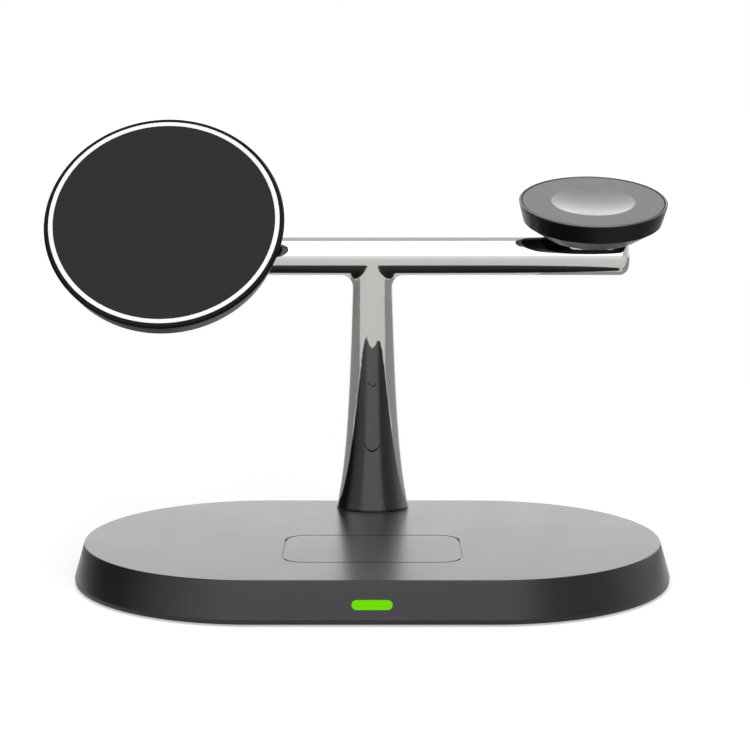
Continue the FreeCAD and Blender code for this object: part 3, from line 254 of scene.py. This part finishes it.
# Board parts: a control chip, two chokes and four capacitors, cast in black epoxy.
# They are soldered to the top of the main board.

EPOXY_DARK = (0.012, 0.012, 0.012)
EPOXY_LIGHT = (0.03, 0.03, 0.03)
epoxy, tree, shader = mottled_finish("chip_epoxy", EPOXY_DARK, EPOXY_LIGHT, smooth=0.45, rough=0.6,
                                     blotch=0.5 * MM)
fine_grain(tree, shader, size=0.12 * MM, depth=0.004 * MM)
dress(epoxy, "board_parts")

# Inlet socket: a drawn and nickel-plated shell round a black plastic block with a thin tongue.
# It is soldered to the rear edge of the main board, and its mouth stands in the housing's rear wall.

NICKEL_DARK = (0.5, 0.49, 0.46)
NICKEL_LIGHT = (0.66, 0.65, 0.62)
nickel = grained_metal("nickel_plate", NICKEL_DARK, NICKEL_LIGHT, smooth=0.18, rough=0.3,
                       grain=0.15 * MM, depth=0.002 * MM)
dress(nickel, "inlet_shell")
tongue_plastic, tree, shader = mottled_finish("tongue_plastic", EPOXY_DARK, EPOXY_LIGHT,
                                              smooth=0.4, rough=0.5, blotch=0.8 * MM)
fine_grain(tree, shader, size=0.2 * MM, depth=0.003 * MM)
dress(tongue_plastic, "inlet_tongue")

# Inlet contacts: twelve gold-plated fingers on each face of the tongue.
# They are stamped from thin strip and moulded into the plastic, so they stand only a hair proud of it.

CONTACT_COUNT = 12
CONTACT_PITCH = 0.5 * MM
CONTACT_WIDTH = 0.28 * MM
CONTACT_LENGTH = 3.2 * MM
CONTACT_SETBACK = 0.4 * MM
CONTACT_HEIGHT = 0.06 * MM
CONTACT_SINK = 0.02 * MM
CONTACT_BEVEL = 0.015 * MM
TONGUE_THICK = 0.7 * MM
GOLD_DARK = (0.62, 0.42, 0.14)
GOLD_LIGHT = (0.86, 0.62, 0.24)


def bevelled_blocks(name, centres, size, bevel):
    """One mesh of like blocks with rounded edges."""
    mesh = bpy.data.meshes.new(name)
    shape = bmesh.new()
    for centre in centres:
        block = bmesh.ops.create_cube(shape, size=1.0)["verts"]
        bmesh.ops.scale(shape, vec=size, verts=block)
        bmesh.ops.translate(shape, vec=centre, verts=block)
    bmesh.ops.bevel(shape, geom=shape.edges[:], offset=bevel, segments=2, profile=0.5, affect="EDGES")
    shape.to_mesh(mesh)
    shape.free()
    piece = bpy.data.objects.new(name, mesh)
    bpy.context.scene.collection.objects.link(piece)
    return piece


tongue_low, tongue_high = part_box("inlet_tongue")
tongue_z = (tongue_low.z + tongue_high.z) / 2
contact_y = tongue_high.y - CONTACT_SETBACK - CONTACT_LENGTH / 2
contact_rise = TONGUE_THICK / 2 + CONTACT_HEIGHT / 2 - CONTACT_SINK
contact_places = [
    Vector(((index - (CONTACT_COUNT - 1) / 2) * CONTACT_PITCH, contact_y, tongue_z + contact_rise * side))
    for index in range(CONTACT_COUNT)
    for side in (1, -1)
]
contact_size = Vector((CONTACT_WIDTH, CONTACT_LENGTH, CONTACT_HEIGHT))
contacts = bevelled_blocks("inlet_contacts", contact_places, contact_size, CONTACT_BEVEL)
gold = grained_metal("gold_plate", GOLD_DARK, GOLD_LIGHT, smooth=0.16, rough=0.26,
                     grain=0.1 * MM, depth=0.001 * MM)
contacts.data.materials.append(gold)
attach(contacts, "stand")

# Indicator: a pill of clear green plastic pressed into the front wall, lit from behind by a small lamp.
# The light is a warm green in the middle of the pill and a shade cooler at its rim.

GREEN_CORE = (0.15, 0.68, 0.0)
GREEN_RIM = (0.13, 0.69, 0.002)
GREEN_BODY = (0.01, 0.05, 0.0)
GREEN_GLOW = 1.0
GREEN_GLOSS = 0.01
PILL_CORE = 0.72
LAMP_DARK = (0.75, 0.76, 0.62)
LAMP_LIGHT = (0.9, 0.9, 0.78)


def pill_core(tree, low, high):
    """One inside a pill that fills the box, falling to nought at its rim."""
    middle = (low + high) / 2
    half_width = (high.x - low.x) / 2
    half_height = (high.z - low.z) / 2
    parts = add_node(tree, "ShaderNodeSeparateXYZ")
    tree.links.new(piece_place(tree, middle), parts.inputs[0])
    past_centre = add_node(tree, "ShaderNodeMath", operation="ABSOLUTE")
    tree.links.new(parts.outputs["X"], past_centre.inputs[0])
    along = spread(tree, past_centre.outputs[0], 0.0, half_height, half_width - half_height, half_width)
    offset = add_node(tree, "ShaderNodeCombineXYZ")
    tree.links.new(along, offset.inputs["X"])
    tree.links.new(parts.outputs["Z"], offset.inputs["Z"])
    distance = add_node(tree, "ShaderNodeVectorMath", operation="LENGTH")
    tree.links.new(offset.outputs[0], distance.inputs[0])
    return spread(tree, distance.outputs["Value"], 1.0, 0.0, half_height * PILL_CORE, half_height)


green, tree, shader = new_finish("green_window")
pill_light = pill_core(tree, *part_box("indicator_window"))
shader.inputs["Base Color"].default_value = (*GREEN_BODY, 1.0)
tree.links.new(shades(tree, pill_light, GREEN_RIM, GREEN_CORE), shader.inputs["Emission Color"])
shader.inputs["Emission Strength"].default_value = GREEN_GLOW
shader.inputs["Specular IOR Level"].default_value = GREEN_GLOSS
tree.links.new(spread(tree, mottle(tree, size=1 * MM), low=0.2, high=0.3), shader.inputs["Roughness"])
dress(green, "indicator_window")
lamp_lens, tree, shader = mottled_finish("lamp_lens", LAMP_DARK, LAMP_LIGHT, smooth=0.1, rough=0.25,
                                         blotch=0.6 * MM)
dress(lamp_lens, "indicator_lamp")

# Charging coils: flat spirals of copper litz wire, one under the earbud spot and one in each head.
# Each lies on a thin sheet of sintered ferrite that keeps its field off the board behind it.

# The darker copper is painted shade, for the grooves between the turns of wire.
COPPER_GROOVE_SHADE = (0.3, 0.1, 0.035)
COPPER_LIGHT = (0.78, 0.36, 0.17)
WIRE_PITCH = 0.9 * MM
WIRE_RISE = WIRE_PITCH / 3
FERRITE_DARK = (0.02, 0.02, 0.022)
FERRITE_LIGHT = (0.05, 0.05, 0.054)
mounts = {mount["name"]: mount for mount in frame["record"]["mounts"]}


def face_place(mount):
    """Centre of a mount's face, and its lean about X from facing straight up."""
    axis = Vector(mounts[mount]["axis"])
    return Vector(mounts[mount]["pos_m"]), math.atan2(-axis.y, axis.z)


def axis_distance(tree, mount):
    """Distance of each point from the axis through a mount's face."""
    parts = add_node(tree, "ShaderNodeSeparateXYZ")
    tree.links.new(piece_place(tree, *face_place(mount)), parts.inputs[0])
    flat = add_node(tree, "ShaderNodeCombineXYZ")
    tree.links.new(parts.outputs["X"], flat.inputs["X"])
    tree.links.new(parts.outputs["Y"], flat.inputs["Y"])
    distance = add_node(tree, "ShaderNodeVectorMath", operation="LENGTH")
    tree.links.new(flat.outputs[0], distance.inputs[0])
    return distance.outputs["Value"]


def turns(tree, mount, pitch):
    """Round wires side by side, ring by ring about the mount's axis: nought in the grooves between the turns and
    one on their crowns.
    """
    ring = add_node(tree, "ShaderNodeMath", operation="PINGPONG")
    ring.inputs[1].default_value = pitch / 2
    tree.links.new(axis_distance(tree, mount), ring.inputs[0])
    return spread(tree, ring.outputs[0], low=0.0, high=1.0, start=0.0, end=pitch / 2)


def wound_copper(name, mount):
    """Copper wire wound round the mount's axis, with painted shade that darkens the grooves between the turns."""
    material, tree, shader = new_finish(name)
    wire_height_and_shade = turns(tree, mount, WIRE_PITCH)
    # Painted shade: the copper's colour darkens towards the grooves between the turns.
    tree.links.new(shades(tree, wire_height_and_shade, COPPER_GROOVE_SHADE, COPPER_LIGHT), shader.inputs["Base Color"])
    polish = spread(tree, mottle(tree, size=0.6 * MM), low=0.25, high=0.42)
    tree.links.new(polish, shader.inputs["Roughness"])
    shader.inputs["Metallic"].default_value = 1.0
    raise_grain(tree, shader, wire_height_and_shade, WIRE_RISE)
    return material


dress(wound_copper("earbud_copper", "earbud_spot"), "earbud_coil")
dress(wound_copper("phone_copper", "phone_face"), "phone_coil")
dress(wound_copper("watch_copper", "watch_dish"), "watch_coil")
ferrite, tree, shader = mottled_finish("sintered_ferrite", FERRITE_DARK, FERRITE_LIGHT,
                                       smooth=0.5, rough=0.7, blotch=0.8 * MM)
fine_grain(tree, shader, size=0.3 * MM, depth=0.01 * MM)
dress(ferrite, "earbud_ferrite", "phone_ferrite", "watch_ferrite")

# T stand, end cap and phone neck: cast zinc alloy, ground, buffed and plated in dark bright chrome.
# The post and crossbar are one casting; the cap and the neck's sleeve carry its line on to the left end.
# The buffing wheel leaves no sharp edge, so the shine runs evenly over a small radius.

CHROME_DARK = (0.44, 0.436, 0.42)
CHROME_LIGHT = (0.47, 0.466, 0.45)
BUFF_RADIUS = 1.2 * MM
chrome, tree, shader = mottled_finish("dark_chrome", CHROME_DARK, CHROME_LIGHT, smooth=0.015, rough=0.035,
                                      blotch=25 * MM)
shader.inputs["Metallic"].default_value = 1.0
buffed = add_node(tree, "ShaderNodeBevel", samples=16)
buffed.inputs["Radius"].default_value = BUFF_RADIUS
tree.links.new(buffed.outputs["Normal"], shader.inputs["Normal"])
dress(chrome, "t_stand", "bar_end_cap", "phone_neck")

# Tilt washers and magnet tray: natural white acetal, turned and moulded.
# The washers run between the neck's sleeve and its shoulders and give the hinge its steady drag.

ACETAL_DARK = (0.6, 0.6, 0.57)
ACETAL_LIGHT = (0.72, 0.72, 0.69)
acetal, tree, shader = mottled_finish("acetal", ACETAL_DARK, ACETAL_LIGHT, smooth=0.35, rough=0.5,
                                      blotch=3 * MM)
fine_grain(tree, shader, size=0.3 * MM, depth=0.004 * MM)
dress(acetal, "tilt_washers", "phone_magnet_tray")

# Phone head shells: rear shell and front ring, moulded in a deeper black with less gloss than the base.
# They snap together at the fine seam behind the front ring's bevel.

HEAD_DARK = (0.004, 0.0035, 0.004)
HEAD_LIGHT = (0.0065, 0.006, 0.0065)
head_black = moulded_black("head_shell_plastic", HEAD_DARK, HEAD_LIGHT, smooth=0.3, rough=0.36, gloss=0.05)
dress(head_black, "phone_rear_shell", "phone_front_ring")

# White ring: a thin ring moulded in bright white plastic.
# It is let in flush between the front ring and the face.

RING_DARK = (0.86, 0.86, 0.85)
RING_LIGHT = (0.91, 0.91, 0.9)
ring_white, tree, shader = mottled_finish("white_ring_plastic", RING_DARK, RING_LIGHT,
                                          smooth=0.28, rough=0.38, blotch=5 * MM)
fine_grain(tree, shader, size=0.4 * MM, depth=0.002 * MM)
dress(ring_white, "phone_white_ring")

# Phone face: a disc of black plastic with a soft-touch lacquer, very matt and finely grained.
# It is glued in within the white ring and covers the magnets and the coil.

FACE_DARK = (0.0082, 0.007, 0.0082)
FACE_LIGHT = (0.0118, 0.0104, 0.0118)
face_lacquer, tree, shader = mottled_finish("soft_touch_lacquer", FACE_DARK, FACE_LIGHT,
                                            smooth=0.5, rough=0.58, blotch=10 * MM,
                                            gloss=0.11, tint=SHELL_TINT)
fine_grain(tree, shader, size=0.15 * MM, depth=0.004 * MM)
dress(face_lacquer, "phone_face")

# Magnets: sixteen sintered segments in a ring under the phone face, and one disc in the watch head.
# They are nickel plated like the inlet's shell and glued into their seats.

dress(nickel, "phone_magnets", "watch_magnet")

# Watch head shells: tapered housing and bottom cover in black plastic, moulded smooth and snapped together.
# The housing's narrow lip round the face is polished, so it catches the light.

WALL_GLOSS = 0.11
LIP_GLOSS = 1.0
LIP_TOP = 1.2 * MM
LIP_ROUND = 0.25 * MM
watch_cover = moulded_black("watch_cover_plastic", HEAD_DARK, HEAD_LIGHT,
                            smooth=0.24, rough=0.3, gloss=WALL_GLOSS)
dress(watch_cover, "watch_bottom_cover")
watch_shell = moulded_black("watch_shell_plastic", HEAD_DARK, HEAD_LIGHT,
                            smooth=0.24, rough=0.3, gloss=WALL_GLOSS)
tree = watch_shell.node_tree
shader = tree.nodes["Principled BSDF"]
parts = add_node(tree, "ShaderNodeSeparateXYZ")
tree.links.new(piece_place(tree, *face_place("watch_dish")), parts.inputs[0])
lip_shine = spread(tree, parts.outputs["Z"], WALL_GLOSS, LIP_GLOSS, LIP_TOP - LIP_ROUND, LIP_TOP)
tree.links.new(lip_shine, shader.inputs["Specular IOR Level"])
dress(watch_shell, "watch_housing")

# Watch face: a grey moulded disc set in the housing with a hairline gap all round.
# The dish in its middle is polished to take the domed back of a watch.

PUCK_DARK = (0.168, 0.16, 0.168)
PUCK_LIGHT = (0.194, 0.185, 0.194)
PUCK_BLOTCH = 4 * MM
DISH_RADIUS = 10.7 * MM
DISH_EDGE = 0.4 * MM

# What each socket gets in the dish, and on the rim round it.
DISH_AND_RIM = {"Roughness": (0.22, 0.45), "Specular IOR Level": (1.0, 0.2)}

puck_grey, tree, shader = new_finish("puck_grey_plastic")
patches = mottle(tree, PUCK_BLOTCH, BLOTCH_DETAIL)
tree.links.new(shades(tree, patches, PUCK_DARK, PUCK_LIGHT), shader.inputs["Base Color"])
from_axis = axis_distance(tree, "watch_dish")
for socket, (in_dish, on_rim) in DISH_AND_RIM.items():
    polish = spread(tree, from_axis, in_dish, on_rim, DISH_RADIUS - DISH_EDGE, DISH_RADIUS)
    tree.links.new(polish, shader.inputs[socket])
shader.inputs["Specular Tint"].default_value = (*SHELL_TINT, 1.0)
fine_grain(tree, shader, size=0.2 * MM, depth=0.0004 * MM)
dress(puck_grey, "watch_face")

# Leads: round wires in smooth black jackets, one to each head.
# They run from the main board up inside the post and along the crossbar,
# and the phone lead's tail turns with its head.

JACKET_DARK = (0.018, 0.018, 0.018)
JACKET_LIGHT = (0.034, 0.034, 0.034)
jacket, tree, shader = mottled_finish("lead_jacket", JACKET_DARK, JACKET_LIGHT, smooth=0.45, rough=0.6,
                                      blotch=2 * MM)
fine_grain(tree, shader, size=0.3 * MM, depth=0.006 * MM)
dress(jacket, "phone_lead", "watch_lead", "phone_lead_tail")

# Floor: a plain white sweep that the station stands on, and the white room round it.
# Camera, gloss and clear surfaces see them as plain white; the floor keeps the station's soft shadow.

FLOOR_HALF = 6.0
FLOOR_PALE = 0.82
FLOOR_LIFT_NEAR = 0.46
FLOOR_LIFT_FAR = 0.85
FLOOR_NEAR = 0.2
FLOOR_FAR = 1.4
ROOM_FILL = 0.3
ROOM_WHITE = 1.0
FLOOR_CORNERS = [(x * FLOOR_HALF, y * FLOOR_HALF, 0.0) for x, y in ((-1, -1), (1, -1), (1, 1), (-1, 1))]


def seen_white(tree):
    """One for rays from the camera and for mirrored and refracted rays, else nought."""
    light_path = add_node(tree, "ShaderNodeLightPath")
    seen = light_path.outputs["Is Camera Ray"]
    for name in ("Is Glossy Ray", "Is Transmission Ray"):
        either = add_node(tree, "ShaderNodeMath", operation="MAXIMUM")
        tree.links.new(seen, either.inputs[0])
        tree.links.new(light_path.outputs[name], either.inputs[1])
        seen = either.outputs[0]
    return seen


def stage_sheet(name, points, faces):
    """A sheet of the studio, which isn't part of the station."""
    mesh = bpy.data.meshes.new(name)
    mesh.from_pydata(points, [], faces)
    sheet = bpy.data.objects.new(name, mesh)
    bpy.context.scene.collection.objects.link(sheet)
    return sheet


def bare_finish(name, sheet):
    """Gives a stage sheet an empty material, and returns its nodes and the socket for its surface."""
    material = bpy.data.materials.new(name)
    material.use_nodes = True
    tree = material.node_tree
    tree.nodes.clear()
    output = add_node(tree, "ShaderNodeOutputMaterial")
    sheet.data.materials.append(material)
    return tree, output.inputs["Surface"]


floor = stage_sheet("floor", FLOOR_CORNERS, [(0, 1, 2, 3)])
tree, surface = bare_finish("floor_paper", floor)
paper = add_node(tree, "ShaderNodeBsdfDiffuse")
paper.inputs["Color"].default_value = (FLOOR_PALE, FLOOR_PALE, FLOOR_PALE, 1.0)
distance = add_node(tree, "ShaderNodeVectorMath", operation="LENGTH")
tree.links.new(piece_place(tree), distance.inputs[0])
lift = spread(tree, distance.outputs["Value"], FLOOR_LIFT_NEAR, FLOOR_LIFT_FAR, FLOOR_NEAR, FLOOR_FAR)
seen_lift = add_node(tree, "ShaderNodeMath", operation="MULTIPLY")
tree.links.new(lift, seen_lift.inputs[0])
tree.links.new(seen_white(tree), seen_lift.inputs[1])
white = add_node(tree, "ShaderNodeEmission")
tree.links.new(seen_lift.outputs[0], white.inputs["Strength"])
both = add_node(tree, "ShaderNodeAddShader")
tree.links.new(paper.outputs[0], both.inputs[0])
tree.links.new(white.outputs[0], both.inputs[1])
tree.links.new(both.outputs[0], surface)

room = bpy.data.worlds.new("white_room")
room.use_nodes = True
bpy.context.scene.world = room
tree = room.node_tree
background = tree.nodes["Background"]
background.inputs["Color"].default_value = (1.0, 1.0, 1.0, 1.0)
tree.links.new(spread(tree, seen_white(tree), ROOM_FILL, ROOM_WHITE), background.inputs["Strength"])

# Studio light: an arched soft box over the front lights the station, together with the white room.
# The soft box's bright core, a screen behind, a grey card on the floor at each side and two curved wings
# are for the gloss: only mirrored rays see them.

ARCH_RADIUS = 1.0
BEND_STEPS = 48
hinge_place = Vector(frame["joints"][0]["pos_m"])
bar_centre = Vector((0.0, hinge_place.y, hinge_place.z))


def bend(start, end):
    """Even steps from one angle to another, given in degrees."""
    return [math.radians(start + (end - start) * step / BEND_STEPS) for step in range(BEND_STEPS + 1)]


def bent_sheet(name, edges):
    """A stage sheet between two edges, given as pairs of points."""
    points = [point for pair in edges for point in pair]
    faces = [(i, i + 1, i + 3, i + 2) for i in range(0, len(points) - 2, 2)]
    return stage_sheet(name, points, faces)


def arched_panel(name, start, end, width, radius=ARCH_RADIUS):
    """A sheet bent about the crossbar: 0 degrees is the front horizon, 90 overhead and 180 the back."""
    half = Vector((width / 2, 0.0, 0.0))
    edges = []
    for angle in bend(start, end):
        middle = bar_centre + radius * Vector((0.0, -math.cos(angle), math.sin(angle)))
        edges.append((middle - half, middle + half))
    return bent_sheet(name, edges)


def light_up(sheet):
    """Lets a stage sheet shine, unseen by the camera. Returns its nodes and the socket for its strength."""
    tree, surface = bare_finish(sheet.name, sheet)
    emission = add_node(tree, "ShaderNodeEmission")
    tree.links.new(emission.outputs[0], surface)
    sheet.visible_camera = False
    return tree, emission.inputs["Strength"]


def shine_evenly(sheet, glow):
    """Lights a sheet with one strength all over."""
    strength = light_up(sheet)[1]
    strength.default_value = glow


def shine_fading(sheet, axis, first_glow, last_glow, first, last):
    """Lights a sheet from one strength at the first place on an axis to another at the last."""
    tree, strength = light_up(sheet)
    parts = add_node(tree, "ShaderNodeSeparateXYZ")
    tree.links.new(piece_place(tree), parts.inputs[0])
    tree.links.new(spread(tree, parts.outputs[axis], first_glow, last_glow, first, last), strength)


def for_gloss_only(sheet):
    """Keeps a sheet's light off all but mirrored rays."""
    sheet.visible_diffuse = False
    sheet.visible_shadow = False


SOFT_BOX_START = 1.0
SOFT_BOX_END = 100.0
SOFT_BOX_WIDTH = 0.72
SOFT_BOX_GLOW = 2.35
soft_box = arched_panel("soft_box", SOFT_BOX_START, SOFT_BOX_END, SOFT_BOX_WIDTH)
shine_evenly(soft_box, SOFT_BOX_GLOW)

CORE_START = 6.0
CORE_END = 50.0
CORE_WIDTH = 1.0
CORE_RADIUS = 0.95
CORE_LOW_GLOW = 3.3
CORE_HIGH_GLOW = 6.4
CORE_LOW = 0.3
CORE_HIGH = 0.65
soft_box_core = arched_panel("soft_box_core", CORE_START, CORE_END, CORE_WIDTH, CORE_RADIUS)
shine_fading(soft_box_core, "Z", CORE_LOW_GLOW, CORE_HIGH_GLOW, CORE_LOW, CORE_HIGH)
for_gloss_only(soft_box_core)

SCREEN_START = 121.0
SCREEN_END = 184.0
SCREEN_WIDTH = 1.6
SCREEN_LOW_GLOW = 2.6
SCREEN_HIGH_GLOW = 0.75
SCREEN_LOW = 0.36
SCREEN_HIGH = 0.94
back_screen = arched_panel("back_screen", SCREEN_START, SCREEN_END, SCREEN_WIDTH)
shine_fading(back_screen, "Z", SCREEN_LOW_GLOW, SCREEN_HIGH_GLOW, SCREEN_LOW, SCREEN_HIGH)
for_gloss_only(back_screen)

CARD_NEAR = 0.05
CARD_FAR = 1.15
CARD_FRONT = -0.01
CARD_NOTCH_X = 0.095
CARD_NOTCH_Y = 0.035
CARD_BACK = 0.4
CARD_BACK_NEAR = 0.23
CARD_SLANT_Y = 0.105
CARD_LIFT = 0.001
CARD_OUTLINE = (
    (CARD_NEAR, CARD_NOTCH_Y),
    (CARD_NOTCH_X, CARD_NOTCH_Y),
    (CARD_NOTCH_X, CARD_FRONT),
    (CARD_FAR, CARD_FRONT),
    (CARD_FAR, CARD_BACK),
    (CARD_BACK_NEAR, CARD_BACK),
    (CARD_NEAR, CARD_SLANT_Y),
)
LEFT_CARD_PALE = 0.44
LEFT_CARD_DARK = 0.03
LEFT_CARD_PALE_X = -0.2
LEFT_CARD_DARK_X = -0.45
RIGHT_CARD_GREY = 0.5


def floor_card(name, side):
    """A card that lies just off the floor, with a notch beside the base's end and a slanted back corner."""
    points = [(x * side, y, CARD_LIFT) for x, y in CARD_OUTLINE]
    return stage_sheet(name, points, [tuple(range(len(points)))])


left_card = floor_card("left_card", -1)
shine_fading(left_card, "X", LEFT_CARD_PALE, LEFT_CARD_DARK, LEFT_CARD_PALE_X, LEFT_CARD_DARK_X)
for_gloss_only(left_card)
right_card = floor_card("right_card", 1)
shine_evenly(right_card, RIGHT_CARD_GREY)
for_gloss_only(right_card)

WING_RADIUS = 1.2
LEFT_WING_START = 20.0
LEFT_WING_END = 140.0
LEFT_WING_TOP = 0.9
LEFT_WING_GLOW = 2.7
LEFT_WING_BRIGHT_Y = -0.95
LEFT_WING_BLACK_Y = -0.05
RIGHT_WING_START = 85.0
RIGHT_WING_END = 150.0
RIGHT_WING_TOP = 0.45
RIGHT_WING_GLOW = 1.5


def curved_wing(name, side, start, end, top):
    """An upright sheet bent about the station: 0 degrees is the front, 90 the side."""
    edges = []
    for angle in bend(start, end):
        x = side * WING_RADIUS * math.sin(angle)
        y = -WING_RADIUS * math.cos(angle)
        edges.append(((x, y, CARD_LIFT), (x, y, top)))
    return bent_sheet(name, edges)


left_wing = curved_wing("left_wing", -1, LEFT_WING_START, LEFT_WING_END, LEFT_WING_TOP)
shine_fading(left_wing, "Y", LEFT_WING_GLOW, 0.0, LEFT_WING_BRIGHT_Y, LEFT_WING_BLACK_Y)
for_gloss_only(left_wing)
right_wing = curved_wing("right_wing", 1, RIGHT_WING_START, RIGHT_WING_END, RIGHT_WING_TOP)
shine_evenly(right_wing, RIGHT_WING_GLOW)
for_gloss_only(right_wing)

# Camera: at the photograph's place, half a metre in front and looking a little down.
# Its place, pitch and lens were fitted to the outlines of the base and the two heads.

CAMERA_PLACE = (0.668 * MM, -496.252 * MM, 127.541 * MM)
CAMERA_PITCH = 8.659
LENS = 96.36
SENSOR = 36.0
NEAREST_SEEN = 0.01
camera_data = bpy.data.cameras.new("camera")
camera_data.lens = LENS
camera_data.sensor_width = SENSOR
camera_data.clip_start = NEAREST_SEEN
camera = bpy.data.objects.new("camera", camera_data)
camera.location = CAMERA_PLACE
camera.rotation_euler = (math.radians(90.0 - CAMERA_PITCH), 0.0, 0.0)
bpy.context.scene.collection.objects.link(camera)
bpy.context.scene.camera = camera
bpy.context.scene.view_settings.view_transform = "Standard"
